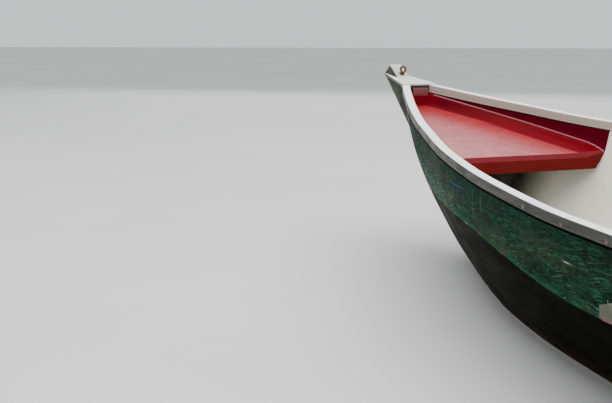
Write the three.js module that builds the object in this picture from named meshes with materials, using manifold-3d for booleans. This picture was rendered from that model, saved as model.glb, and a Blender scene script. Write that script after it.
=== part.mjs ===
// Open electric launch with a raked stem, a red bow platform and a tiller-steered motor on the transom.
// Millimetres, +X to the bow, +Y to port, +Z up. The origin is on the waterline, 2.9 m ahead of the transom.
import * as THREE from "three";
import { mergeVertices } from "three/addons/utils/BufferGeometryUtils.js";
import Module from "manifold-3d";

const wasm = await Module();
wasm.setup();

// Driving dimensions. Distances aft start 2.9 m ahead of the origin. Heights start from a baseline that lies
// WATER_RISE below the water's surface, and each finished mesh is lowered by it
const BASE_X = 2900;
const WATER_RISE = 42;
const TRANSOM_AFT = 5800;
const SEAT_GAP = 0.3;
const RAIL = { width: 38, depth: 27.6, innerDepth: 33.8, wall: 3 };
const EAVES_DEPTH = 34;
const HULL_WALL = 22;
const LINER_WALL = 8;
const STEM_HALF_WIDTH = 38;

// Insets of the nested hull forms, each measured from the outer face of the gunwale rail
const HULL_FACE = RAIL.wall + SEAT_GAP;
const HULL_BACK = HULL_FACE + HULL_WALL;
const LINER_FACE = HULL_BACK + SEAT_GAP;
const LINER_BACK = LINER_FACE + LINER_WALL;
const FITTING_FACE = LINER_BACK + SEAT_GAP;

// Hull rows: distance aft, half-breadth and height of the gunwale, height of the keel,
// and the two inner control points of the section as shares of half-breadth and depth
const HULL_ROWS = [
  { aft: 200, half: 8, sheer: 780, keel: 778, lowY: 0.35, lowZ: 0.3, highY: 0.7, highZ: 0.65 },
  { aft: 300, half: 53, sheer: 766, keel: 686, lowY: 0.34, lowZ: 0.26, highY: 0.74, highZ: 0.6 },
  { aft: 425, half: 117, sheer: 744, keel: 513, lowY: 0.31, lowZ: 0.19, highY: 0.82, highZ: 0.57 },
  { aft: 640, half: 219, sheer: 712, keel: 324, lowY: 0.28, lowZ: 0.12, highY: 0.9, highZ: 0.53 },
  { aft: 850, half: 314, sheer: 685, keel: 154, lowY: 0.26, lowZ: 0.06, highY: 0.94, highZ: 0.5 },
  { aft: 1062, half: 402, sheer: 659, keel: 10, lowY: 0.25, lowZ: 0.02, highY: 0.9, highZ: 0.51 },
  { aft: 1275, half: 485, sheer: 640, keel: -73, lowY: 0.28, lowZ: 0, highY: 0.88, highZ: 0.48 },
  { aft: 1700, half: 649, sheer: 615, keel: -150, lowY: 0.36, lowZ: 0, highY: 0.87, highZ: 0.43 },
  { aft: 2125, half: 763, sheer: 590, keel: -162, lowY: 0.43, lowZ: 0, highY: 0.84, highZ: 0.4 },
  { aft: 2600, half: 842, sheer: 571, keel: -162, lowY: 0.47, lowZ: 0, highY: 0.81, highZ: 0.38 },
  { aft: 3300, half: 905, sheer: 567, keel: -160, lowY: 0.54, lowZ: 0, highY: 0.83, highZ: 0.34 },
  { aft: 4200, half: 895, sheer: 571, keel: -146, lowY: 0.56, lowZ: 0, highY: 0.83, highZ: 0.34 },
  { aft: 5000, half: 830, sheer: 581, keel: -112, lowY: 0.57, lowZ: 0, highY: 0.84, highZ: 0.35 },
  { aft: 5800, half: 728, sheer: 597, keel: -62, lowY: 0.58, lowZ: 0, highY: 0.85, highZ: 0.36 },
];
const HULL_STATIONS = [
  252, 285, 325, 375, 435, 510, 600, 700, 810, 930, 1062, 1220, 1400, 1600, 1850, 2125, 2450, 2800, 3300, 3800,
  4300, 4700, 5100, 5450, 5800,
];
const SECTION_STEPS = 10;

// Stem: distance aft and height of its leading edge, from the head to the forefoot
const STEM_EDGE = [
  [80, 794], [95, 781], [170, 716], [253, 641], [354, 549], [500, 402], [653, 247], [757, 179], [833, 133], [935, 62],
  [1100, -38], [1330, -132], [1560, -184],
];
const STEM_BAR_DEPTH = 330;
const CAP = { frontAft: 93, junctionAft: 287, tipTop: 794, thickness: 13, frontHalf: 38, overhang: 2 };
const HEAD = { frontAft: 94, peakAft: 130, heelAft: 220, height: 44, footHalf: 35.5, peakHalf: 27.5, heelHalf: 35 };
const BREASTHOOK = { rearAft: 378 };
const EYE = { aft: 197, ringRadius: 14, wireRadius: 4, ringHeight: 26, collarRadius: 13, collarHeight: 9 };

// Red bow moulding: floor and ridge heights run straight between the nose and the rear edge
const PLATFORM = {
  noseAft: 390, rearAft: 1220, noseFloor: 655, rearFloor: 516, noseRidge: 709, rearRidge: 537,
  floor: 12, lip: 64, lipFootHalf: 364, chamfer: 16, skin: 9, step: 8, sideRun: 1.6, margin: 14, crestHalf: 43,
  crestTop: 738, turnAft: 1130, turnDrop: 15,
};

// Inside the cockpit
const SOLE = { frontAft: 1120, rearAft: 5790, bottom: 62, thickness: 14 };
const BENCH = { frontAft: 3150, rearAft: 5350, top: 372, innerHalf: 330, wall: 14 };
const BATTERY = { frontAft: 4300, length: 420, inner: 352, width: 175, height: 230 };

// Underwater
const KEEL = { frontAft: 1560, rearAft: 4880, halfWidth: 24, bottom: -200 };
const SKEG = { frontAft: 4890, rearAft: 5720, halfWidth: 14, bottom: -262 };

// Stern
const NOTCH = { half: 210, bottom: 500 };
const MOTOR_BOARD = { half: 190, thickness: 26, bottom: 250 };
const GUARD = { tubeRadius: 11, lowerRise: 16, upperRise: 58, steps: 44 };
// Rubbing pad: distance aft, lower and upper height of its outline, with a rounded fore end
const PAD_PROUD = 12;
const PAD_OUTLINE = [
  [2644, 331, 337], [2652, 327, 347], [2666, 327, 370], [2696, 329, 383], [2737, 332, 397], [2860, 333, 400],
];

// Motor: tilt pin behind the transom notch, steering axis behind the pin
const PIN = { aft: TRANSOM_AFT + 82, height: 545, radius: 8 };
const CLAMP = { jawAft: 5738, jawBottom: 400, top: 518, plate: 16, plateBottom: 262, half: 74, screwY: 54, screwZ: 430 };
const STEER_AFT = TRANSOM_AFT + 128;
const HEAD_BASE = 678;
const LEG = { radius: 24, bottom: -232 };
const POD = { radius: 50, length: 300, height: -285, front: 130 };
const PROP = { radius: 128, hubRadius: 32, hubLength: 56, blades: 3, gap: 6, shaftRadius: 9, shaftLength: 30 };
const COWL = { front: 150, rear: 175, half: 95, height: 178, tray: 18 };
const TILLER = { rise: 92, arm: 205, grip: 128, clear: 24 };

// Colours, roughness and metalness
const FINISH = {
  hull: ["#1d4a3d", 0.45, 0.0],
  cream: ["#d3cfc2", 0.5, 0.0],
  red: ["#a3161d", 0.25, 0.0],
  alloy: ["#b9bcb8", 0.4, 0.8],
  stem: ["#4c524a", 0.6, 0.0],
  copper: ["#7a4a2e", 0.55, 0.7],
  dark: ["#2a2c2b", 0.6, 0.0],
  sole: ["#8d8f8a", 0.8, 0.0],
  bench: ["#1f6350", 0.45, 0.0],
  cowl: ["#eeece6", 0.35, 0.0],
  black: ["#141414", 0.5, 0.0],
  steel: ["#9a9c9b", 0.35, 0.9],
  leaf: ["#3f8a1e", 0.45, 0.0],
  timber: ["#6d5236", 0.7, 0.0],
};

const part = new THREE.Group();
part.name = "open_launch";

function addMesh(name, solid, finish) {
  const [color, roughness, metalness] = FINISH[finish];
  const geometry = geometryOf(solid);
  geometry.translate(0, 0, -WATER_RISE);
  const mesh = new THREE.Mesh(geometry, new THREE.MeshStandardMaterial({ color, roughness, metalness }));
  mesh.name = name;
  part.add(mesh);
  return mesh;
}

// Solids from closed three.js geometry, and back
function solidOf(geometry) {
  const bare = geometry.clone();
  bare.deleteAttribute("normal");
  bare.deleteAttribute("uv");
  const merged = mergeVertices(bare, 1e-3);
  const mesh = new wasm.Mesh({
    numProp: 3,
    vertProperties: new Float32Array(merged.attributes.position.array),
    triVerts: new Uint32Array(merged.index.array),
  });
  return new wasm.Manifold(mesh);
}

function geometryOf(solid) {
  const mesh = solid.getMesh();
  const geometry = new THREE.BufferGeometry();
  geometry.setAttribute("position", new THREE.BufferAttribute(new Float32Array(mesh.vertProperties), 3));
  geometry.setIndex(new THREE.BufferAttribute(new Uint32Array(mesh.triVerts), 1));
  geometry.computeVertexNormals();
  return geometry;
}

const union = (solids) => solids.reduce((sum, solid) => sum.add(solid));

// Closed skin through rings of equal length, its two ends capped. Each ring is a list of [x, y, z],
// and flat gives the two coordinates that the caps are cut in
function skinThrough(rings, flat) {
  const count = rings[0].length;
  const index = [];
  for (let r = 0; r + 1 < rings.length; r += 1) {
    for (let i = 0; i < count; i += 1) {
      const j = (i + 1) % count;
      const a = r * count + i;
      const b = r * count + j;
      index.push(a, b, b + count, a, b + count, a + count);
    }
  }
  const capped = (ring, start, atStart) => {
    const outline = ring.map((point) => new THREE.Vector2(...flat(point)));
    const turned = THREE.ShapeUtils.area(outline) > 0 === atStart;
    for (const [a, b, c] of THREE.ShapeUtils.triangulateShape(outline, [])) {
      index.push(start + a, start + (turned ? c : b), start + (turned ? b : c));
    }
  };
  capped(rings[0], 0, true);
  capped(rings[rings.length - 1], (rings.length - 1) * count, false);
  const geometry = new THREE.BufferGeometry();
  geometry.setAttribute("position", new THREE.Float32BufferAttribute(rings.flat(2), 3));
  geometry.setIndex(index);
  return geometry;
}

// Solid from a closed skin of either facing
function facingOut(geometry) {
  const solid = solidOf(geometry);
  if (solid.volume() > 0) return solid;
  const index = geometry.index.array;
  for (let i = 0; i < index.length; i += 3) {
    [index[i], index[i + 1]] = [index[i + 1], index[i]];
  }
  return solidOf(geometry);
}

const loft = (rings) => facingOut(skinThrough(rings, ([, y, z]) => [y, z]));
const stack = (rings) => facingOut(skinThrough(rings, ([x, y]) => [x, y]));

// Box from its lowest and highest corners
function box([x0, y0, z0], [x1, y1, z1]) {
  const geometry = new THREE.BoxGeometry(x1 - x0, y1 - y0, z1 - z0);
  geometry.translate((x0 + x1) / 2, (y0 + y1) / 2, (z0 + z1) / 2);
  return solidOf(geometry);
}

// Side-view outline of [x, z] points, drawn out from y = -half to y = +half
function slab(points, half) {
  const shape = new THREE.Shape(points.map(([x, z]) => new THREE.Vector2(x, z)));
  const geometry = new THREE.ExtrudeGeometry(shape, { depth: 2 * half, bevelEnabled: false, steps: 1 });
  geometry.rotateX(Math.PI / 2);
  geometry.translate(0, half, 0);
  return solidOf(geometry);
}

// Upright or level round bar between two points
function rod(from, to, radius, sides = 16, endRadius = radius) {
  const start = new THREE.Vector3(...from);
  const end = new THREE.Vector3(...to);
  const along = new THREE.Vector3().subVectors(end, start);
  const geometry = new THREE.CylinderGeometry(endRadius, radius, along.length(), sides);
  geometry.applyQuaternion(
    new THREE.Quaternion().setFromUnitVectors(new THREE.Vector3(0, 1, 0), along.clone().normalize()),
  );
  const middle = start.add(end).multiplyScalar(0.5);
  geometry.translate(middle.x, middle.y, middle.z);
  return solidOf(geometry);
}

const atX = (aft) => BASE_X - aft;

// One column of the hull rows at any distance aft, on a monotone curve through the rows
function hullValue(column, aft) {
  const last = HULL_ROWS.length - 1;
  const place = Math.min(Math.max(aft, HULL_ROWS[0].aft), HULL_ROWS[last].aft);
  let i = 0;
  while (i < last - 1 && place > HULL_ROWS[i + 1].aft) i += 1;
  const run = HULL_ROWS[i + 1].aft - HULL_ROWS[i].aft;
  const t = (place - HULL_ROWS[i].aft) / run;
  const rise = HULL_ROWS[i + 1][column] - HULL_ROWS[i][column];
  const near = rowSlope(column, i) * run;
  const far = rowSlope(column, i + 1) * run;
  const cubic = near + far - 2 * rise;
  return HULL_ROWS[i][column] + near * t + (3 * rise - 2 * near - far) * t * t + cubic * t * t * t;
}

// Slope of a column at a row: the harmonic mean of its neighbours' slopes, or 0 at a peak
function rowSlope(column, i) {
  const slopeTo = (j) => (HULL_ROWS[j + 1][column] - HULL_ROWS[j][column]) / (HULL_ROWS[j + 1].aft - HULL_ROWS[j].aft);
  if (i === 0) return slopeTo(0);
  if (i === HULL_ROWS.length - 1) return slopeTo(i - 1);
  const before = slopeTo(i - 1);
  const after = slopeTo(i);
  return before * after <= 0 ? 0 : (2 * before * after) / (before + after);
}

// Any value of the hull as the lofts draw it, in straight runs between the hull stations
function betweenStations(aft, valueAt) {
  let i = 0;
  while (i < HULL_STATIONS.length - 2 && aft > HULL_STATIONS[i + 1]) i += 1;
  const near = valueAt(HULL_STATIONS[i]);
  const far = valueAt(HULL_STATIONS[i + 1]);
  return near + ((far - near) * (aft - HULL_STATIONS[i])) / (HULL_STATIONS[i + 1] - HULL_STATIONS[i]);
}
const sheerLine = (aft) => betweenStations(aft, (station) => hullValue("sheer", station));

// Distance from the centreline of a face set in from the rail's outer face, in the same straight runs
const edgeLine = (aft, inset) =>
  betweenStations(aft, (station) => hullValue("half", station) - inset * slant("half", station));

// Slant factor of a column: how much longer a skin is cut when its surface runs at a slope
function slant(column, aft) {
  const slope = (hullValue(column, aft + 10) - hullValue(column, aft - 10)) / 20;
  return Math.sqrt(1 + slope * slope);
}

// Half section of the hull form at a station, from keel to gunwale, as [y, z] points
function halfSection(aft, inset, raise = 0) {
  const half = hullValue("half", aft) - inset * slant("half", aft);
  const keel = hullValue("keel", aft) + inset * slant("keel", aft);
  const sheer = hullValue("sheer", aft);
  const eaves = sheer - EAVES_DEPTH;
  const low = [hullValue("lowY", aft) * half, keel + hullValue("lowZ", aft) * (eaves - keel)];
  const high = [hullValue("highY", aft) * half, keel + hullValue("highZ", aft) * (eaves - keel)];
  const points = [];
  for (let i = 0; i <= SECTION_STEPS; i += 1) {
    const u = i / SECTION_STEPS;
    const v = 1 - u;
    const a = 3 * v * v * u;
    const b = 3 * v * u * u;
    const c = u * u * u;
    points.push([a * low[0] + b * high[0] + c * half, v * v * v * keel + a * low[1] + b * high[1] + c * eaves]);
  }
  points.push([half, sheer - RAIL.wall - SEAT_GAP + raise]);
  return points;
}

// Solid hull form, drawn in from the rail's outer face by an inset and raised at the gunwale
function hullForm(inset, raise = 0) {
  const clear = inset + 4;
  const fits = (aft) =>
    hullValue("half", aft) > clear * slant("half", aft) + 4 &&
    hullValue("keel", aft) + inset * slant("keel", aft) < hullValue("sheer", aft) - EAVES_DEPTH - 6;
  let first = HULL_STATIONS[0];
  while (!fits(first)) first += 3;
  const rear = TRANSOM_AFT - Math.max(0, inset - HULL_FACE);
  const stations = [first, ...HULL_STATIONS.filter((aft) => aft > first + 8 && aft < rear - 8), rear];
  return loft(
    stations.map((aft) => {
      const side = halfSection(aft, inset, raise);
      const port = side.map(([y, z]) => [atX(aft), y, z]);
      const starboard = side.slice(1).reverse().map(([y, z]) => [atX(aft), -y, z]);
      return [...starboard, ...port];
    }),
  );
}

// Half-breadth of a hull form at one station and height
function halfAt(aft, height, inset) {
  const side = halfSection(aft, inset, 400);
  for (let i = 1; i < side.length; i += 1) {
    if (side[i][1] >= height) {
      const share = (height - side[i - 1][1]) / (side[i][1] - side[i - 1][1]);
      return side[i - 1][0] + Math.max(0, share) * (side[i][0] - side[i - 1][0]);
    }
  }
  return side[side.length - 1][0];
}

// The nested forms that the skins and fittings are cut from
const outerForm = hullForm(HULL_FACE);
const clearForm = hullForm(HULL_FACE - SEAT_GAP);
const coverForm = hullForm(HULL_FACE - SEAT_GAP, SEAT_GAP);
const fittingForm = hullForm(FITTING_FACE);

// Opening in the top of the transom that the motor hangs in, grown or shrunk by a margin
function notchCut(margin) {
  return box(
    [atX(TRANSOM_AFT + 60), -NOTCH.half + margin, NOTCH.bottom + margin],
    [atX(TRANSOM_AFT - 120), NOTCH.half - margin, NOTCH.bottom + 400],
  );
}

function makeHull() {
  return outerForm.subtract(hullForm(HULL_BACK, 40)).subtract(notchCut(-RAIL.wall - SEAT_GAP));
}

function makeLiner() {
  const skin = hullForm(LINER_FACE).subtract(hullForm(LINER_BACK, 40));
  return skin.subtract(notchCut(-RAIL.wall - SEAT_GAP));
}

// Top of the strip on the stem: the hull's top edge, carried straight on to the tip
function capTop(aft) {
  const nose = HULL_STATIONS[0];
  if (aft > nose) return sheerLine(aft);
  return CAP.tipTop + ((sheerLine(nose) - CAP.tipTop) * (aft - CAP.frontAft)) / (nose - CAP.frontAft);
}
const capUnderside = (aft) => capTop(aft) - CAP.thickness;

// Stem bar: a thick slab along the raked edge, cut back by the hull that it covers
function makeStem() {
  const front = STEM_EDGE.map(([aft, z]) => [atX(aft), z]);
  const back = STEM_EDGE.map(([aft, z]) => [atX(aft + STEM_BAR_DEPTH), Math.max(z, -130)]).reverse();
  const rear = CAP.junctionAft;
  const top = [0, CAP.frontAft, HULL_STATIONS[0], rear].map((aft) => [atX(aft), capUnderside(aft) - SEAT_GAP]);
  const below = slab([...top, [atX(rear), 710], [atX(2500), 710], [atX(2500), -400], [atX(0), -400]], 60);
  const ahead = box([atX(KEEL.frontAft), -60, -300], [atX(0), 60, 900]);
  return slab([...front, ...back], STEM_HALF_WIDTH).intersect(below).intersect(ahead).subtract(clearForm);
}

// Plate over the stem or the hull's top edges, with sides that hang down outside them
function coverPlate(afts, halfWidth) {
  const plate = loft(
    afts.map((aft) => {
      const half = halfWidth(aft);
      const top = capTop(aft);
      const low = top - CAP.thickness;
      return [[-half, low], [half, low], [half, top], [-half, top]].map(([y, z]) => [atX(aft), y, z]);
    }),
  );
  return plate.subtract(coverForm);
}

// Half-breadth of the covering plates, whose edges run straight from the tip to the gunwales
function plateHalf(aft) {
  const rearHalf = hullValue("half", BREASTHOOK.rearAft) + CAP.overhang;
  return CAP.frontHalf + ((rearHalf - CAP.frontHalf) * (aft - CAP.frontAft)) / (BREASTHOOK.rearAft - CAP.frontAft);
}

// Strip on top of the stem, from the tip to the breasthook
function makeCap() {
  return coverPlate([CAP.frontAft, 170, HULL_STATIONS[0], CAP.junctionAft - SEAT_GAP], plateHalf);
}

// Height of the sloping face of the stem head
function rampHeight(aft) {
  const share = (aft - HEAD.peakAft) / (HEAD.heelAft - HEAD.peakAft);
  return capTop(HEAD.peakAft) + HEAD.height + share * (capTop(HEAD.heelAft) + 1 - capTop(HEAD.peakAft) - HEAD.height);
}

// Wedge on the stem: a leaning face in front, sides that lean in, and a ramp down to the strip behind
function makeHead() {
  const sections = [
    [HEAD.frontAft, capTop(HEAD.frontAft) + 1, HEAD.footHalf],
    [HEAD.peakAft, rampHeight(HEAD.peakAft), HEAD.peakHalf],
    [HEAD.heelAft, rampHeight(HEAD.heelAft), HEAD.heelHalf],
  ];
  return loft(sections.map(([aft, top, topHalf]) => {
    const low = capTop(aft) + SEAT_GAP;
    const ring = [[-HEAD.footHalf, low], [HEAD.footHalf, low], [topHalf, top], [-topHalf, top]];
    return ring.map(([y, z]) => [atX(aft), y, z]);
  }));
}

// Plate that joins the two gunwales behind the stem
function makeBreasthook() {
  return coverPlate([CAP.junctionAft, 325, BREASTHOOK.rearAft], plateHalf);
}

// Mooring eye: a ring in the boat's long plane, standing square to the ramp on a round collar
function makeEye() {
  const fall = rampHeight(HEAD.peakAft) - rampHeight(HEAD.heelAft);
  const lean = Math.atan2(fall, HEAD.heelAft - HEAD.peakAft);
  const above = (rise) => [atX(EYE.aft) - rise * Math.sin(lean), 0, rampHeight(EYE.aft) + rise * Math.cos(lean)];
  const ring = new THREE.TorusGeometry(EYE.ringRadius, EYE.wireRadius, 8, 24);
  ring.rotateX(Math.PI / 2);
  ring.translate(...above(EYE.ringHeight));
  const foot = rod(above(-20), above(EYE.collarHeight), EYE.collarRadius, 20, 10);
  const clear = 60;
  const overRamp = slab(
    [[atX(EYE.aft - clear), rampHeight(EYE.aft - clear) + SEAT_GAP],
      [atX(EYE.aft + clear), rampHeight(EYE.aft + clear) + SEAT_GAP],
      [atX(EYE.aft + clear), 1000], [atX(EYE.aft - clear), 1000]],
    100,
  );
  return solidOf(ring).add(foot).intersect(overRamp);
}

// Gunwale rail on one side, an upside-down channel over the edges of hull and liner
function makeRail(side) {
  const afts = [BREASTHOOK.rearAft + 0.5, ...HULL_STATIONS.filter((aft) => aft > BREASTHOOK.rearAft + 10)];
  const rail = loft(
    afts.map((aft) => {
      const top = sheerLine(aft);
      const low = top - RAIL.depth;
      const innerLow = top - RAIL.innerDepth;
      const roof = top - RAIL.wall;
      const [outer, outerWall, innerWall, inner] = [0, RAIL.wall, RAIL.width - RAIL.wall, RAIL.width].map((inset) =>
        edgeLine(aft, inset));
      const outline = [
        [outer, top], [inner, top], [inner, innerLow], [innerWall, innerLow],
        [innerWall, roof], [outerWall, roof], [outerWall, low], [outer, low],
      ];
      return outline.map(([y, z]) => [atX(aft), side * y, z]);
    }),
  );
  const overTransom = box([atX(TRANSOM_AFT + 9), -900, 0], [atX(TRANSOM_AFT - RAIL.width + RAIL.wall), 900, 900]);
  return rail.subtract(coverForm.intersect(overTransom));
}

// Capping along the transom's top, dipping through the motor notch
function makeTransomCap() {
  const end = hullValue("half", TRANSOM_AFT) - RAIL.width * slant("half", TRANSOM_AFT) - 0.6;
  const top = hullValue("sheer", TRANSOM_AFT);
  const aftFace = atX(TRANSOM_AFT + RAIL.wall + SEAT_GAP);
  const foreFace = aftFace + RAIL.width + 0.6;
  const band = (depth, reach) => {
    const whole = box([aftFace - 1, -end, NOTCH.bottom - reach], [foreFace + 1, end, top - depth]);
    return whole.subtract(notchCut(-depth));
  };
  const solid = band(0, RAIL.depth).subtract(band(RAIL.depth, RAIL.depth + 10));
  const outer = solid.intersect(box([aftFace, -900, 0], [foreFace, 900, 900]));
  const slot = band(RAIL.wall, RAIL.depth + 20).intersect(
    box([aftFace + RAIL.wall, -900, 0], [foreFace - RAIL.wall, 900, 900]),
  );
  return outer.subtract(slot);
}

// Straight run of a platform height between the nose and the rear edge
function platformLine(nose, rear, aft) {
  return rear + ((PLATFORM.rearAft - aft) * (nose - rear)) / (PLATFORM.rearAft - PLATFORM.noseAft);
}
const floorHeight = (aft) => platformLine(PLATFORM.noseFloor, PLATFORM.rearFloor, aft);
const PLATFORM_STATIONS = [390, 430, 480, 530, 600, 700, 810, 930, 1062, 1140, 1180, 1220];

// Height of the ridge, which turns down at its aft end
function ridgeHeight(aft) {
  const turn = Math.max(0, (aft - PLATFORM.turnAft) / (PLATFORM.rearAft - PLATFORM.turnAft));
  return platformLine(PLATFORM.noseRidge, PLATFORM.rearRidge, aft) - PLATFORM.turnDrop * turn * turn;
}

// Ring of a loft from one side's [y, z] points, mirrored across the centreline
function mirroredRing(aft, side) {
  const port = side.map(([y, z]) => [atX(aft), y, z]);
  const starboard = side.slice().reverse().map(([y, z]) => [atX(aft), -y, z]);
  return [...port, ...starboard];
}

// Red moulding: a sloping floor, sides with a ridge, a crested nose panel and a lip along the rear edge
function makeBowMoulding() {
  const eaves = (aft) => hullValue("sheer", aft) - RAIL.innerDepth - 1;
  const blank = loft(
    [PLATFORM.noseAft - PLATFORM.skin, ...PLATFORM_STATIONS].map((aft) => {
      const low = floorHeight(aft) - PLATFORM.floor;
      return mirroredRing(aft, [[halfAt(aft, low, LINER_FACE) + 20, low], [hullValue("half", aft) + 20, eaves(aft)]]);
    }),
  );
  const lip = loft([PLATFORM.rearAft, PLATFORM.rearAft - PLATFORM.floor].map((aft) => mirroredRing(aft, [
    [PLATFORM.lipFootHalf, PLATFORM.rearFloor - PLATFORM.lip],
    [halfAt(PLATFORM.rearAft, PLATFORM.rearFloor, LINER_FACE), PLATFORM.rearFloor - 1],
  ])));
  const crest = box(
    [atX(PLATFORM.noseAft), -PLATFORM.crestHalf, PLATFORM.noseRidge - 10],
    [atX(PLATFORM.noseAft - PLATFORM.skin + 1), PLATFORM.crestHalf, PLATFORM.crestTop],
  );
  const well = loft(
    [...PLATFORM_STATIONS, PLATFORM.rearAft + 60].map((aft) => {
      const at = Math.min(aft, PLATFORM.rearAft);
      const floor = floorHeight(aft);
      const ridge = Math.max(ridgeHeight(aft), floor + 2);
      const top = hullValue("sheer", at) + 40;
      const wall = halfAt(at, ridge, FITTING_FACE) - PLATFORM.skin;
      const shelf = wall - PLATFORM.step;
      const foot = Math.max(shelf - (ridge - floor - 1) * PLATFORM.sideRun, 12);
      return mirroredRing(aft, [
        [foot - PLATFORM.margin > 4 ? foot - PLATFORM.margin : 4, floor],
        [foot, floor + 5],
        [shelf, ridge - 2],
        [wall, ridge],
        [halfAt(at, eaves(at), FITTING_FACE) - PLATFORM.skin, eaves(at)],
        [halfAt(at, eaves(at), FITTING_FACE) - PLATFORM.skin, top],
      ]);
    }),
  );
  const rear = atX(PLATFORM.rearAft);
  const cut = PLATFORM.chamfer + 4;
  const chamfer = slab(
    [[rear + cut, PLATFORM.rearFloor + 4], [rear - 4, PLATFORM.rearFloor + 4], [rear - 4, PLATFORM.rearFloor - cut]],
    600,
  );
  return blank.add(lip).subtract(well).subtract(chamfer).add(crest).intersect(fittingForm);
}

function makeSole() {
  const plate = box(
    [atX(SOLE.rearAft), -900, SOLE.bottom],
    [atX(SOLE.frontAft), 900, SOLE.bottom + SOLE.thickness],
  );
  return plate.intersect(fittingForm);
}

const SOLE_TOP = SOLE.bottom + SOLE.thickness;

// Side bench: a seat with a front panel and end panels, and a lining up to the gunwale behind it
function makeBench(side) {
  const outside = fittingForm.subtract(hullForm(FITTING_FACE + 10, 60));
  const span = (y0, y1) => (side > 0 ? [y0, y1] : [-y1, -y0]);
  const block = (aft0, aft1, y0, y1, z0, z1) => {
    const [left, right] = span(y0, y1);
    return box([atX(aft1), left, z0], [atX(aft0), right, z1]);
  };
  const wall = BENCH.wall;
  const body = block(BENCH.frontAft, BENCH.rearAft, BENCH.innerHalf, 990, SOLE_TOP + SEAT_GAP, BENCH.top);
  const hollow = block(
    BENCH.frontAft + wall, BENCH.rearAft - wall, BENCH.innerHalf + wall, 990, SOLE_TOP - 5, BENCH.top - wall,
  );
  const strip = block(BENCH.frontAft, BENCH.rearAft, BENCH.innerHalf, 990, BENCH.top - wall, 900);
  const eaves = loft(
    HULL_STATIONS.filter((aft) => aft > 2500).map((aft) => {
      const top = hullValue("sheer", aft) - RAIL.innerDepth - 1;
      return [[-990, 0], [990, 0], [990, top], [-990, top]].map(([y, z]) => [atX(aft), y, z]);
    }),
  );
  const lining = outside.intersect(strip).intersect(eaves);
  return body.intersect(fittingForm).subtract(hollow).add(lining);
}

function makeBattery(side) {
  const [left, right] = side > 0
    ? [BATTERY.inner, BATTERY.inner + BATTERY.width]
    : [-BATTERY.inner - BATTERY.width, -BATTERY.inner];
  const base = SOLE_TOP + SEAT_GAP;
  return box([atX(BATTERY.frontAft + BATTERY.length), left, base], [atX(BATTERY.frontAft), right, base + BATTERY.height]);
}

// Keel strip under the bottom, and the deeper skeg behind it
function makeKeel() {
  const front = KEEL.frontAft + SEAT_GAP;
  const foot = STEM_EDGE[STEM_EDGE.length - 1][1];
  return slab(
    [[atX(front), foot], [atX(front + 140), KEEL.bottom], [atX(KEEL.rearAft), KEEL.bottom], [atX(KEEL.rearAft), 0],
      [atX(front), 0]],
    KEEL.halfWidth,
  ).subtract(clearForm);
}

function makeSkeg() {
  return slab(
    [[atX(SKEG.frontAft), KEEL.bottom], [atX(SKEG.rearAft), SKEG.bottom], [atX(SKEG.rearAft), 0],
      [atX(SKEG.frontAft), 0]],
    SKEG.halfWidth,
  ).subtract(clearForm);
}

// Rubbing pad on the hull's side
function makePad(side) {
  const rings = PAD_OUTLINE.map(([aft, low, high]) => {
    const outlineLow = halfAt(aft, low, 0) + PAD_PROUD;
    const outlineHigh = halfAt(aft, high, 0) + PAD_PROUD;
    const outline = [[outlineLow, low], [outlineHigh, high], [outlineHigh - 90, high], [outlineLow - 90, low]];
    return outline.map(([y, z]) => [atX(aft), side * y, z]);
  });
  return loft(rings).subtract(clearForm).subtract(fittingForm);
}

// Tube along a smooth path through [aft, y, z] points
function tube(points, radius, steps, sides = 8) {
  const path = new THREE.CatmullRomCurve3(points.map(([aft, y, z]) => new THREE.Vector3(atX(aft), y, z)));
  const shape = new THREE.Shape();
  for (let i = 0; i < sides; i += 1) {
    const angle = (2 * Math.PI * i) / sides;
    const x = radius * Math.cos(angle);
    const y = radius * Math.sin(angle);
    if (i === 0) shape.moveTo(x, y);
    else shape.lineTo(x, y);
  }
  shape.closePath();
  return solidOf(new THREE.ExtrudeGeometry(shape, { steps, bevelEnabled: false, extrudePath: path }));
}

// Guard around the motor: two bars on posts, standing on the gunwales and running round behind
function makeGuard() {
  const top = hullValue("sheer", TRANSOM_AFT);
  const run = [[5300, 0], [5520, 0], [5800, 0]].map(([aft]) => [aft, hullValue("half", aft) - RAIL.width / 2]);
  const bend = [[6010, 655], [6180, 540], [6290, 350], [6322, 140]];
  const half = [...run, ...bend];
  const bar = (rise) => {
    const level = ([aft, y]) => [aft, y, Math.max(hullValue("sheer", Math.min(aft, TRANSOM_AFT)), top - 20) + rise];
    const port = half.map(level);
    const starboard = half.slice().reverse().map(level).map(([aft, y, z]) => [aft, -y, z]);
    return tube([...port, ...starboard], GUARD.tubeRadius, GUARD.steps);
  };
  const posts = [5320, 5560, 5780].flatMap((aft) => [-1, 1].map((side) => {
    const y = side * (hullValue("half", aft) - RAIL.width / 2);
    const foot = hullValue("sheer", aft) + 2 * SEAT_GAP;
    return rod([atX(aft), y, foot], [atX(aft), y, foot + GUARD.upperRise], 9, 10);
  }));
  const rearPosts = [[6180, 540], [6180, -540], [6322, 138], [6322, -138]].map(([aft, y]) =>
    rod([atX(aft), y, top + GUARD.lowerRise - 6], [atX(aft), y, top + GUARD.upperRise + 2], 9, 10));
  return union([bar(GUARD.lowerRise), bar(GUARD.upperRise), ...posts, ...rearPosts]);
}

// Timber pad on the transom that the motor's clamp bears on
function makeMotorBoard() {
  const face = atX(TRANSOM_AFT + SEAT_GAP);
  return box(
    [face - MOTOR_BOARD.thickness, -MOTOR_BOARD.half, MOTOR_BOARD.bottom],
    [face, MOTOR_BOARD.half, NOTCH.bottom - RAIL.depth - 2],
  );
}

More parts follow.
